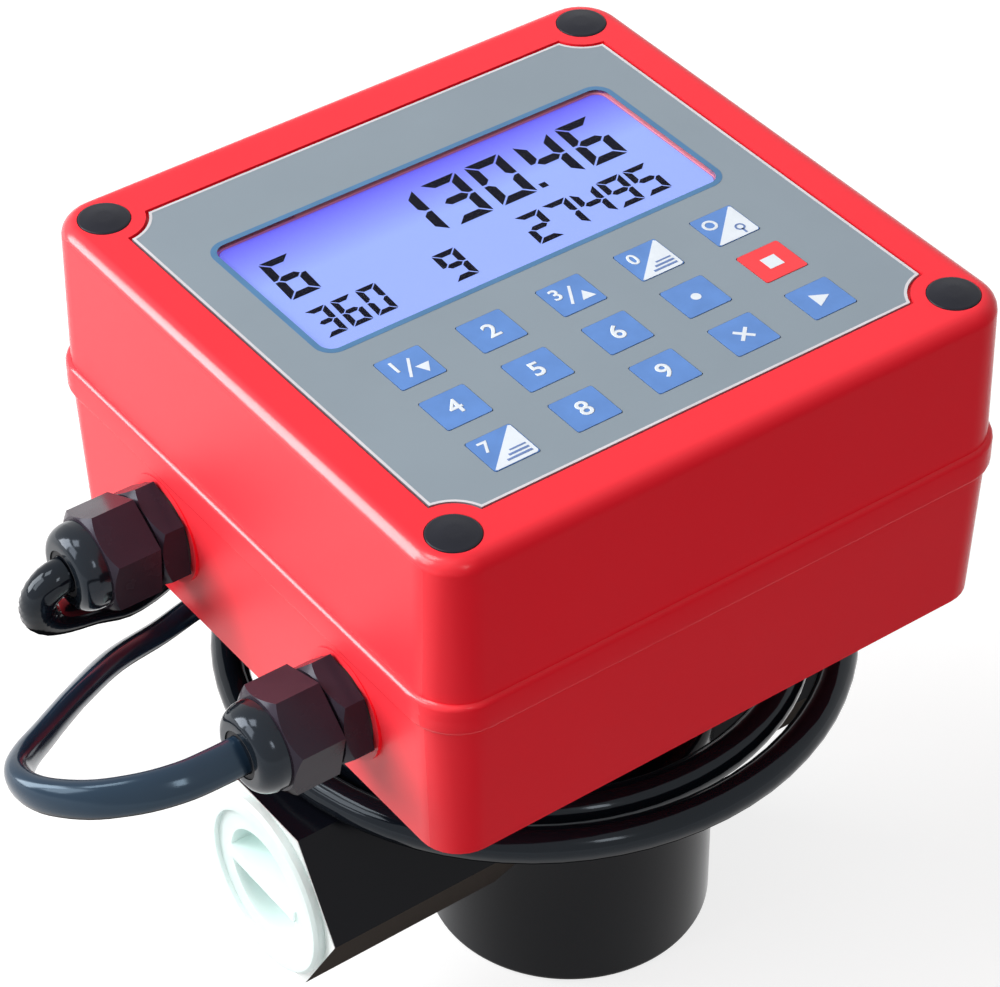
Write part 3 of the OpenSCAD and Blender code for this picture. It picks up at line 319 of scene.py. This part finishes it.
# The bluish reflection tints of the glands and leads are painted reflection of bluish light around
# them
GLAND = material("gland_plastic", (0.03, 0.021, 0.032), rough=0.24, specular=0.16, vary=0.12,
                 vary_scale=70, bump=0.02, bump_scale=700, rough_vary=0.06, reflection_tint=(0.75, 0.85, 1))
CAP = material("cap_rubber", (0.01, 0.011, 0.018), rough=0.32, specular=0.2, vary=0.1,
               vary_scale=120, bump=0.08, bump_scale=900)
# The front lead is black rubber; its blue-grey colour is painted reflection of bluish light around
# it
LEAD = material("lead_rubber", (0.012, 0.027, 0.05), rough=0.16, specular=0.5, vary=0.15,
                vary_scale=35, bump=0.06, bump_scale=260, rough_vary=0.04, reflection_tint=(0.62, 0.82, 1))
ROUND_LEAD = material("round_lead_rubber", (0.005, 0.007, 0.011), rough=0.1, specular=0.26,
                      vary=0.15, vary_scale=35, bump=0.04, bump_scale=260, rough_vary=0.03,
                      reflection_tint=(0.8, 0.9, 1))
BLACK = material("black_paint", (0.004, 0.0045, 0.0075), rough=0.16, specular=0.14,
                 vary=0.15, vary_scale=20, bump=0.03, bump_scale=300, rough_vary=0.05)
# The white plastic glows faintly: on the inlet plug this is painted light that lifts the shade in
# its recess, on the display's backlight it is the backlight's own light
PLUG = material("white_plastic", (0.72, 0.87, 0.84), rough=0.35, specular=0.3,
                subsurface=0.5, vary=0.03, vary_scale=40, bump=0.08, bump_scale=120,
                emission=(0.9, 1, 0.98), emit=0.09)
STEEL = material("steel", (0.62, 0.63, 0.65), rough=0.28, metal=1.0, vary=0.06,
                 vary_scale=120, bump=0.05, bump_scale=900, rough_vary=0.08)
GEAR = material("stainless", (0.68, 0.68, 0.69), rough=0.2, metal=1.0, vary=0.04,
                vary_scale=90, bump=0.04, bump_scale=700, rough_vary=0.06)
BOARD = material("circuit_board", (0.02, 0.16, 0.07), rough=0.4, specular=0.5, vary=0.2,
                 vary_scale=140, bump=0.2, bump_scale=500)
BLOCK = material("green_plastic", (0.03, 0.2, 0.09), rough=0.45, vary=0.1, vary_scale=90)
SEAL = material("seal_rubber", (0.012, 0.012, 0.014), rough=0.6, specular=0.35, vary=0.12,
                vary_scale=150, bump=0.15, bump_scale=900)
CORE = material("copper_core", (0.42, 0.07, 0.03), rough=0.4, vary=0.1, vary_scale=200)
SENSOR_MAT = material("sensor_body", (0.02, 0.02, 0.024), rough=0.35, vary=0.1, vary_scale=90)
MAGNET = material("magnet", (0.5, 0.5, 0.53), rough=0.3, metal=1.0, vary=0.05, vary_scale=90)


# Looks that change over a material, by place or by the way a face looks; several are painted light
# and shade

def paint_underside_reflection(made, tint):
    """Faces that look down lose their gloss and take a painted colour: painted reflection of the
    floor below and painted shade.
    """
    down = facing(made.node_tree, "Z", -0.15, -0.45)
    mix_in(made, "Specular IOR Level", down, 0.0)
    mix_in(made, "Base Color", down, tint)


# The deeper violet near the display's back edge
VIOLET_FROM, VIOLET_FULL = HEAD_Y + 24, HEAD_Y + 42
tree = LCD.node_tree
violet = map_range(tree, coordinates(tree)["Y"], VIOLET_FROM * MM, VIOLET_FULL * MM)
mix_in(LCD, "Emission Color", violet, (0.16, 0.14, 0.96))
mix_in(LCD, "Base Color", violet, (0.04, 0.03, 0.3))

# Bare machined metal on the pipe bar's end faces and inside its ports
LEFT_FACE_X, RIGHT_FACE_X, BAR_Z, PORT_R = -85.3, 65.8, 52.5, 15.3
tree = BLACK.node_tree
place = coordinates(tree)
left_end = math_node(tree, "LESS_THAN", place["X"], LEFT_FACE_X * MM)
right_end = math_node(tree, "GREATER_THAN", place["X"], RIGHT_FACE_X * MM)
height = math_node(tree, "SUBTRACT", place["Z"], BAR_Z * MM)
radius = math_node(tree, "SQRT", math_node(
    tree, "ADD", math_node(tree, "MULTIPLY", place["Y"], place["Y"]),
    math_node(tree, "MULTIPLY", height, height)))
in_port = math_node(tree, "LESS_THAN", radius, PORT_R * MM)
bare = math_node(tree, "MAXIMUM", math_node(tree, "MAXIMUM", left_end, right_end), in_port)
mix_in(BLACK, "Base Color", bare, (0.84, 0.87, 0.86))
mix_in(BLACK, "Metallic", bare, 0.4)
mix_in(BLACK, "Roughness", bare, 0.4)

# Painted shade on the front wall, deeper red and less glossy, and painted sheen and highlight on
# the glossier left wall and edges
tree = RED.node_tree
front = facing(tree, "Y", -0.4, -0.95)
left_wall_painted_sheen = facing(tree, "X", -0.95, -0.99)
left_edge_painted_highlight = math_node(tree, "MULTIPLY", facing(tree, "X", -0.1, -0.4),
                      facing(tree, "Z", 0.1, 0.4))
# The front wall's deeper red is painted shade
mix_in(RED, "Base Color", front, (1.0, 0.014, 0.03))
mix_in(RED, "Specular IOR Level", left_edge_painted_highlight, 0.6)
mix_in(RED, "Specular IOR Level", left_wall_painted_sheen, 0.55)
mix_in(RED, "Specular IOR Level", front, 0.04)
mix_in(RED, "Roughness", left_wall_painted_sheen, 0.45)

# Painted light: the wall of the display's well is painted paler, for the display's light that the
# film over it scatters
WELL = {"X": (HEAD_X - 54, HEAD_X + 54), "Y": (HEAD_Y - 5, HEAD_Y + 44)}
WELL_Z = SEAM_Z + 20
place = coordinates(tree)
well_painted_light = math_node(tree, "GREATER_THAN", place["Z"], WELL_Z * MM)
for axis, (low_edge, high_edge) in WELL.items():
    above = math_node(tree, "GREATER_THAN", place[axis], low_edge * MM)
    below = math_node(tree, "LESS_THAN", place[axis], high_edge * MM)
    well_painted_light = math_node(tree, "MULTIPLY", well_painted_light, math_node(tree, "MULTIPLY", above, below))
# The paler colour here is painted light
mix_in(RED, "Base Color", well_painted_light, (0.95, 0.3, 0.36))

# Painted floor reflection and shade on the undersides: brownish on the black paint, dim on the
# glands and leads
paint_underside_reflection(BLACK, (0.085, 0.072, 0.064))
paint_underside_reflection(GLAND, (0.016, 0.011, 0.014))
paint_underside_reflection(LEAD, (0.008, 0.009, 0.011))
paint_underside_reflection(ROUND_LEAD, (0.008, 0.009, 0.011))

# The gland's domed end is blacker and glossier than its hexagons
DOME_X = -102.2
tree = GLAND.node_tree
dome = math_node(tree, "LESS_THAN", coordinates(tree)["X"], DOME_X * MM)
mix_in(GLAND, "Base Color", dome, (0.007, 0.01, 0.014))
mix_in(GLAND, "Roughness", dome, 0.13)
mix_in(GLAND, "Specular IOR Level", dome, 0.35)


# The CAD pieces' materials and shading

WELD_REACH = 0.00001
SHARP_ANGLE = 30
AREA_WEIGHT = 60


def soften(piece):
    """Joins the faces' shared points for shading, and keeps every edge over SHARP_ANGLE sharp."""
    weld = piece.modifiers.new("weld", "WELD")
    weld.merge_threshold = WELD_REACH
    split = piece.modifiers.new("split", "EDGE_SPLIT")
    split.split_angle = math.radians(SHARP_ANGLE)
    split.use_edge_sharp = False
    normals = piece.modifiers.new("normals", "WEIGHTED_NORMAL")
    normals.mode = "FACE_AREA"
    normals.weight = AREA_WEIGHT
    normals.keep_sharp = True


def dress(name, made):
    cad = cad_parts[name]
    cad.data.materials.clear()
    cad.data.materials.append(made)
    cad.data.polygons.foreach_set("use_smooth", [True] * len(cad.data.polygons))
    soften(cad)


DRESS = {
    RED: "head_base head_lid",
    GREY: "overlay_panel",
    WINDOW: "display_window",
    LCD: "lcd_glass",
    PLUG: "lcd_backlight inlet_plug",
    BOARD: "display_board main_board",
    BLOCK: "terminal_block",
    STEEL: "board_screws lid_screws neck_screws cover_screws gear_shafts inlet_strainer",
    GEAR: "gear_a gear_b",
    KEY_BLUE: "key_1 key_2 key_3 key_0 key_lock key_4 key_5 key_6 key_point "
              "key_7 key_8 key_9 key_clear key_start",
    KEY_RED: "key_stop",
    CAP: "corner_caps",
    GLAND: "gland_bodies gland_nuts gland_locknuts key_switches coil_tie gear_a_bush gear_b_bush",
    SEAL: "lid_gasket gland_seals gland_washers neck_gasket cover_oring neck_grommet",
    LEAD: "front_lead",
    ROUND_LEAD: "lead_tails back_lead back_lead_coil",
    CORE: "lead_cores back_lead_ends",
    SENSOR_MAT: "pulse_sensor",
    MAGNET: "gear_magnets",
    BLACK: "meter_body inlet_arm outlet_arm neck_adapter chamber_cover",
}
for made, names in DRESS.items():
    for name in names.split():
        dress(name, made)


# Leads: the same routes as the solids

FRONT_ROUTE = [Vector(p) for p in (
    (-108, -29.9, 128.2), (-114.5, -29.9, 128.2), (-122, -29.2, 128),
    (-130.5, -26, 127.1), (-138.8, -19.6, 125.2), (-144.2, -10.3, 122.4), (-144.4, -1.1, 119.6),
    (-139, 7.2, 115.6), (-128.8, 15.9, 111.2), (-115.6, 25.9, 106.6), (-100.6, 35.6, 101.6),
    (-85, 42, 97), (-72, 45.5, 96), (-60, 46.5, 95), (-48, 43.5, 94.4),
    (-38.5, 35.5, 94), (-30.5, 26.6, 94), (-23.6, 19.8, 94), (-17.3, 14.53, 94))]
FRONT_BROAD = [Vector(p) for p in (
    (0, 0.65, 0.65), (0, 0.65, 0.65), (0.1, 0.6, 0.7), (0.1, 0.5, 0.8),
    (0, 0.4, 0.9), (-0.1, 0.3, 1), (-0.2, -0.1, 1), (-0.3, -0.4, 1), (-0.3, -0.6, 1),
    (-0.3, -0.8, 0.9), (-0.3, -0.9, 0.8), (-0.3, -0.9, 0.8), (-0.2, -0.9, 0.8),
    (-0.1, -0.7, 0.9), (0, -0.4, 1), (0, 0, 1), (0, 0, 1), (0, 0, 1), (0, 0, 1))]
BACK_ROUTE = [Vector(p) for p in (
    (-108, 40.1, 128.2), (-111.6, 40.2, 127.4), (-114.3, 40.9, 124),
    (-114.4, 41.9, 119.2), (-111.4, 43.4, 115), (-106, 45, 111.8), (-98.5, 46.8, 108.8),
    (-89, 49.6, 103.8), (-78, 54.8, 100.2), (-66, 63.4, 95.6), (-55, 72.6, 89.2),
    (-46, 79, 84), (-38.5, 83.4, 80.8), (-30.4, 84.9, 79.8))]
BACK_BROAD = Vector((0, 0.2, 1))
FLAT_W, FLAT_T, LEAD_D = 8.6, 5.8, 8.4
FLAT_SIDES, FLAT_POWER, ROUND_SIDES = 24, 2.3, 20
FRONT_STEPS, BACK_STEPS = 5, 3
COIL_CENTRE, COIL_Z, COIL_R, COIL_PITCH = (-6, 10), 79.8, 78, 10.4
COIL_START, COIL_TURNS, COIL_RINGS = 105, 2.25, 24


def coil_point(turns):
    a = math.radians(COIL_START - 360 * turns)
    r = COIL_R - COIL_PITCH * turns
    return Vector((COIL_CENTRE[0] + r * math.cos(a), COIL_CENTRE[1] + r * math.sin(a), COIL_Z))


coil = [coil_point(k / COIL_RINGS) for k in range(round(COIL_TURNS * COIL_RINGS) + 1)]
coil_end = coil[-1] + LEAD_D * (coil[-1] - coil[-2]).normalized()

front_path = [p * MM for p in smooth_route(FRONT_ROUTE, FRONT_STEPS)]
front_broads = smooth_route(FRONT_BROAD, FRONT_STEPS)
front_lead = new_object("front_lead_form", swept_tube(
    "front_lead_form", front_path, front_broads, FLAT_W * MM, FLAT_T * MM, FLAT_SIDES,
    FLAT_POWER), LEAD)
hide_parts("front_lead")

back_path = [p * MM for p in smooth_route(BACK_ROUTE[:-1] + coil + [coil_end], BACK_STEPS)]
back_lead = new_object("back_lead_form", swept_tube(
    "back_lead_form", back_path, [BACK_BROAD] * len(back_path), LEAD_D * MM, LEAD_D * MM,
    ROUND_SIDES), ROUND_LEAD)
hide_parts("back_lead", "back_lead_coil")


# The display's figures: seven segments with mitred ends

SEGMENTS = {"0": "abcdef", "1": "bc", "2": "abged", "3": "abgcd", "4": "fgbc", "5": "afgcd",
            "6": "afgedc", "7": "abc", "8": "abcdefg", "9": "gfabcd"}
SLANT, GAP_SHARE = 0.07, 0.3
INK_LOW, INK_HIGH = LCD_TOP + 0.03, LCD_TOP + 0.08


def digit(char, x, y, w, h, half):
    """The lit segments of one figure; w and h run between the middles of its outer strokes."""
    wide, tall, thick, gap = w / 2 + half, h / 2 + half, 2 * half, half * GAP_SHARE
    top = [(-wide + gap, tall), (wide - gap, tall),
           (wide - thick - gap, tall - thick), (-wide + thick + gap, tall - thick)]
    side = [(wide, tall - gap), (wide, gap), (wide - half, gap),
            (wide - thick, half + gap), (wide - thick, tall - thick - gap)]
    middle = [(-wide + half + gap, 0), (-wide + thick + gap, half), (wide - thick - gap, half),
              (wide - half - gap, 0), (wide - thick - gap, -half), (-wide + thick + gap, -half)]
    shapes = {"a": (top, 1, 1), "d": (top, 1, -1), "b": (side, 1, 1), "c": (side, 1, -1),
              "f": (side, -1, 1), "e": (side, -1, -1), "g": (middle, 1, 1)}
    made = []
    for name in SEGMENTS[char]:
        outline, flip_x, flip_y = shapes[name]
        made.append([(x + u * flip_x + SLANT * v * flip_y, y + v * flip_y) for u, v in outline])
    return made


def number(chars, xs, y, w, h, half):
    """A row of figures: the middle of each, then their width, height and half a stroke."""
    made = []
    for char, x in zip(chars, xs):
        made += digit(char, x, y, w, h, half)
    return made


DECIMAL_POINT = [(19.3, 18.7), (19.3, 20.4), (21.0, 20.4), (21.0, 18.7)]
figures = number("13046", (-9.9, 1.8, 13.7, 27.0, 38.7), 26.8, 7.0, 14.4, 1.2)
figures.append(DECIMAL_POINT)
figures += number("27495", (10.1, 17.5, 24.9, 32.3, 39.7), 7.7, 4.8, 9.3, 0.8)
figures += number("360", (-45.9, -39.5, -33.1), 7.3, 3.7, 8.8, 0.7)
figures += number("6", (-43.4,), 24.9, 5.7, 12.6, 1.0)
figures += number("9", (-12.6,), 7.3, 4.4, 9.0, 0.82)
new_object("display_figures", joined_prisms("display_figures", figures, INK_LOW, INK_HIGH),
           INK)


# Printed border round the display, and a pale strip round the panel's edge: partly the edge's own
# pale colour, partly a painted highlight where the edge catches the light

WIN_X0, WIN_X1, WIN_Y0, WIN_Y1, WIN_R = -52.2, 52.2, -2.56, 41.54, 3.0
BORDER_INNER, BORDER_OUTER = 0.2, 1.6
PANEL_X, PANEL_Y0, PANEL_Y1, NOTCH_R, SCREW = 63.9, -61.7, 61.5, 9.8, 65.0
RIM_INNER, RIM_OUTER = -0.65, -0.02
CORNER_STEPS, NOTCH_STEPS = 10, 14
FILM_Z, FILM_SKIRT = PANEL_TOP + 0.04, 0.03


def arc(cx, cy, r, start, end, steps):
    return [(cx + r * math.cos(math.radians(start + (end - start) * i / steps)),
             cy + r * math.sin(math.radians(start + (end - start) * i / steps)))
            for i in range(steps + 1)]


def window_outline(grow):
    """The display window's outline with its round corners, grown outward."""
    x0, x1, r = WIN_X0 - grow, WIN_X1 + grow, WIN_R + grow
    y0, y1 = WIN_Y0 - grow, WIN_Y1 + grow
    made = []
    for cx, cy, start in ((x1 - r, y1 - r, 0), (x0 + r, y1 - r, 90),
                          (x0 + r, y0 + r, 180), (x1 - r, y0 + r, 270)):
        made += arc(cx, cy, r, start, start + 90, CORNER_STEPS)
    return made


def panel_outline(grow):
    """The panel's outline with a round notch at each corner, grown outward."""
    x, y0, y1, r = PANEL_X + grow, PANEL_Y0 - grow, PANEL_Y1 + grow, NOTCH_R - grow
    made = []
    for sx, sy, edge in ((1, 1, y1), (-1, 1, y1), (-1, -1, y0), (1, -1, y0)):
        cx, cy = SCREW * sx, SCREW * sy
        on_side = (sx * x, cy - sy * math.sqrt(max(r * r - (cx - sx * x) ** 2, 0)))
        on_edge = (cx - sx * math.sqrt(max(r * r - (cy - edge) ** 2, 0)), edge)
        a = math.degrees(math.atan2(on_side[1] - cy, on_side[0] - cx))
        b = math.degrees(math.atan2(on_edge[1] - cy, on_edge[0] - cx))
        if sx * sy < 0:
            a, b = b, a
        while b - a > 180:
            b -= 360
        while a - b > 180:
            b += 360
        made += arc(cx, cy, r, a, b, NOTCH_STEPS)
    return made


def ring(name, inner, outer):
    """A closed strip on the film, between two outlines of as many points, with a thin skirt."""
    n = len(inner)
    points = [on_head(x, y, FILM_Z) for x, y in inner + outer]
    points += [p - mm(0, 0, FILM_SKIRT) for p in points]
    faces = []
    for i in range(n):
        j = (i + 1) % n
        faces += [(i, j, n + j, n + i), (2 * n + i, 3 * n + i, 3 * n + j, 2 * n + j),
                  (i, 2 * n + i, 2 * n + j, j), (n + i, n + j, 3 * n + j, 3 * n + i)]
    return mesh_from(name, points, faces, FILM_CREASE)


border = ring("window_border", window_outline(BORDER_INNER), window_outline(BORDER_OUTER))
new_object("window_border", border, BORDER)
rim = ring("panel_rim", panel_outline(RIM_INNER), panel_outline(RIM_OUTER))
new_object("panel_rim", rim, RIM)


# Keys: each legend rides on its own key

LAYOUT = (("1", "2", "3", "0", "lock"), ("4", "5", "6", "point", "stop"),
          ("7", "8", "9", "clear", "start"))
KEY_TOP = 187.9
PITCH_X, PITCH_Y, KEY_FWD = 20.806, 16.065, 33.266
KEY_W, KEY_D = 11.2, 10.7
LEGEND_LOW, LEGEND_HIGH, LEGEND_STEP = KEY_TOP + 0.01, KEY_TOP + 0.05, 0.05
FIGURE_SIZE, FIGURE_Z = 6.4, KEY_TOP + 0.03
FIGURE_BEVEL, FIGURE_FLATTEN = 0.024, 0.2
ROUND_STEPS, HOOP_REACH = 28, 1.05


def key_centre(col, row):
    return (col - 2) * PITCH_X, (1 - row) * PITCH_Y - KEY_FWD


def shifted(outline, x, y):
    return [(x + a, y + b) for a, b in outline]


def disc(r):
    return arc(0, 0, r, 0, 360 - 360 / ROUND_STEPS, ROUND_STEPS - 1)


def stroke(p, q, half):
    p, q = Vector(p), Vector(q)
    side = (q - p).normalized() * half
    side = Vector((-side.y, side.x))
    return [tuple(v) for v in (p + side, p - side, q - side, q + side)]


def hoop(r_in, r_out):
    """A ring as short strokes that overlap a little, so that each outline stays simple."""
    made = []
    for i in range(ROUND_STEPS):
        a, b = (math.tau * k / ROUND_STEPS for k in (i, i + HOOP_REACH))
        made.append([(r * math.cos(t), r * math.sin(t))
                     for r, t in ((r_in, a), (r_out, a), (r_out, b), (r_in, b))])
    return made


def key_figure(body, char, x, y, size):
    """A raised figure with rounded edges, flattened onto the key's top."""
    text = bpy.data.curves.new("figure", "FONT")
    text.body = char
    text.size = size * MM
    text.align_x = "CENTER"
    text.align_y = "CENTER"
    text.bevel_depth = FIGURE_BEVEL * size * MM
    text.bevel_resolution = 0
    carrier = bpy.data.objects.new("figure", text)
    bpy.context.scene.collection.objects.link(carrier)
    carrier.location = on_head(x, y, FIGURE_Z)
    bpy.context.view_layer.update()
    graph = bpy.context.evaluated_depsgraph_get()
    made = bpy.data.meshes.new_from_object(carrier.evaluated_get(graph))
    made.transform(carrier.matrix_world @ Matrix.Diagonal((1, 1, FIGURE_FLATTEN, 1)))
    bpy.data.objects.remove(carrier)
    bpy.data.curves.remove(text)
    made.name = f"{body}_figure"
    new_object(f"{body}_figure", made, PRINT, body)


def key_mark(body, name, outlines, x, y, made=PRINT, raised=0.0):
    """Flat marks on the key's top; the outlines are given from the key's middle."""
    mesh = joined_prisms(name, [shifted(outline, x, y) for outline in outlines],
                         LEGEND_LOW + raised, LEGEND_HIGH + raised)
    new_object(f"{body}_{name}", mesh, made, body)


# The white half of a key, from corner to corner
HALF_X, HALF_Y, HALF_CUT = KEY_W / 2 - 0.15, KEY_D / 2 - 0.15, 0.5
HALF_KEY = [(HALF_X - HALF_CUT, HALF_Y - 0.1), (HALF_X, HALF_Y - HALF_CUT),
            (HALF_X, HALF_CUT - HALF_Y), (HALF_X - HALF_CUT, -HALF_Y),
            (HALF_CUT - HALF_X, -HALF_Y), (0.1 - HALF_X, 0.3 - HALF_Y)]
UP_ARROW = [(-1.7, -1.3), (1.7, -1.3), (0, 1.7)]
DOWN_ARROW = [(-1.7, 1.3), (0, -1.7), (1.7, 1.3)]
RIGHT_ARROW = [(-1.7, 2.2), (-1.7, -2.2), (2.3, 0)]
SQUARE = [(-1.9, -1.9), (1.9, -1.9), (1.9, 1.9), (-1.9, 1.9)]
CROSS = [(0.6, 0), (2, 1.4), (1.4, 2), (0, 0.6), (-1.4, 2), (-2, 1.4),
         (-0.6, 0), (-2, -1.4), (-1.4, -2), (0, -0.6), (1.4, -2), (2, -1.4)]
SLASH = shifted(stroke((-1.4, -2.7), (1.6, 2.9), 0.33), -0.2, 0)
BARS = [stroke((0.6, -1.5), (4.6, -1.5), 0.22), stroke((-0.4, -2.7), (4.6, -2.7), 0.3),
        stroke((-1.6, -3.9), (4.6, -3.9), 0.3)]
KEYHOLE = [shifted(part, 2.4, -2.2) for part in hoop(0.75, 1.2)]
KEYHOLE += [stroke((2.4, -3.0), (2.4, -4.6), 0.25)]

# White marks, blue lines on the white halves, and the place and size of figures beside these
MARKS = {
    "1": [shifted(DOWN_ARROW, 2.7, -1.6), SLASH],
    "3": [shifted(UP_ARROW, 2.7, -1.6), SLASH],
    "lock": [shifted(part, -2.6, 2.0) for part in hoop(1.1, 1.8)],
    "point": [disc(1.15)],
    "stop": [SQUARE],
    "start": [RIGHT_ARROW],
    "clear": [CROSS],
}
LINES = {"0": BARS, "7": BARS, "lock": KEYHOLE}
SHARED = {"0": (-2.7, 1.9, 5.0), "7": (-2.7, 1.9, 5.0),
          "1": (-2.7, 1.7, 5.2), "3": (-2.7, 1.7, 5.2)}

for row, names in enumerate(LAYOUT):
    for col, name in enumerate(names):
        body = f"key_{name}"
        x, y = key_centre(col, row)
        if name in LINES:
            key_mark(body, "half", [HALF_KEY], x, y)
        if name.isdigit():
            move_x, move_y, size = SHARED.get(name, (0, 0, FIGURE_SIZE))
            key_figure(body, name, x + move_x, y + move_y, size)
        if name in MARKS:
            key_mark(body, "mark", MARKS[name], x, y)
        if name in LINES:
            key_mark(body, "lines", LINES[name], x, y, PRINT_BLUE, LEGEND_STEP)


# World and floor: white to the camera and in reflections, and darker as a source of light

AMBIENT = 0.34
FLOOR_HALF = 3.0
# The floor's own light is at FADE_LEVEL up to FADE_FROM, so that a soft shadow shows there,
# and full from FADE_TO on
FADE_FROM, FADE_TO, FADE_LEVEL = 0.25, 1.0, 0.77

world = bpy.data.worlds.new("studio")
bpy.context.scene.world = world
world.use_nodes = True
tree = world.node_tree
sky = tree.nodes["Background"]
sky.inputs["Color"].default_value = (1, 1, 1, 1)
level = map_range(tree, background_mask(tree), 0.0, 1.0, AMBIENT, 1.0)
tree.links.new(level, sky.inputs["Strength"])

corners = [(x * FLOOR_HALF, y * FLOOR_HALF, 0) for x, y in ((-1, -1), (1, -1), (1, 1), (-1, 1))]
floor_mesh = mesh_from("floor", corners, [(0, 1, 2, 3)])
floor = bpy.data.objects.new("floor", floor_mesh)
bpy.context.scene.collection.objects.link(floor)
paper = material("floor_paper", (0.36, 0.36, 0.36), rough=0.9, specular=0.0, vary=0.01,
                 vary_scale=5, emission=(1, 1, 1), emit=1.0)
tree = paper.node_tree
reach = tree.nodes.new("ShaderNodeVectorMath")
reach.operation = "LENGTH"
tree.links.new(tree.nodes["Texture Coordinate"].outputs["Object"], reach.inputs[0])
fade = map_range(tree, reach.outputs["Value"], FADE_FROM, FADE_TO, FADE_LEVEL, 1.0)
lift = math_node(tree, "MULTIPLY", background_mask(tree), fade)
tree.links.new(lift, tree.nodes["Principled BSDF"].inputs["Emission Strength"])
floor_mesh.materials.append(paper)


# Lamps: place, target, width, height and power

LAMPS = {
    "key_lamp": ((-1.42, 1.27, 1.0), (0, 0, 0.15), 0.9, 1.6, 48),
    "left_lamp": ((-1.75, 0.4, 1.3), (0, 0, 0.12), 0.8, 1.2, 15),
    "top_lamp": ((-0.72, 0.5, 1.85), (0, 0, 0.1), 0.6, 0.6, 8),
    "front_lamp": ((-0.3, -1.6, 1.35), (0, 0, 0.1), 0.25, 0.5, 3),
}


def area_lamp(name, place, target, wide, tall, power):
    data = bpy.data.lights.new(name, "AREA")
    data.shape = "RECTANGLE"
    data.size = wide
    data.size_y = tall
    data.energy = power
    lamp = bpy.data.objects.new(name, data)
    bpy.context.scene.collection.objects.link(lamp)
    lamp.location = place
    lamp.rotation_mode = "QUATERNION"
    lamp.rotation_quaternion = (Vector(target) - Vector(place)).to_track_quat("-Z", "Y")


for name, settings in LAMPS.items():
    area_lamp(name, *settings)

bpy.context.scene.view_settings.view_transform = "Standard"
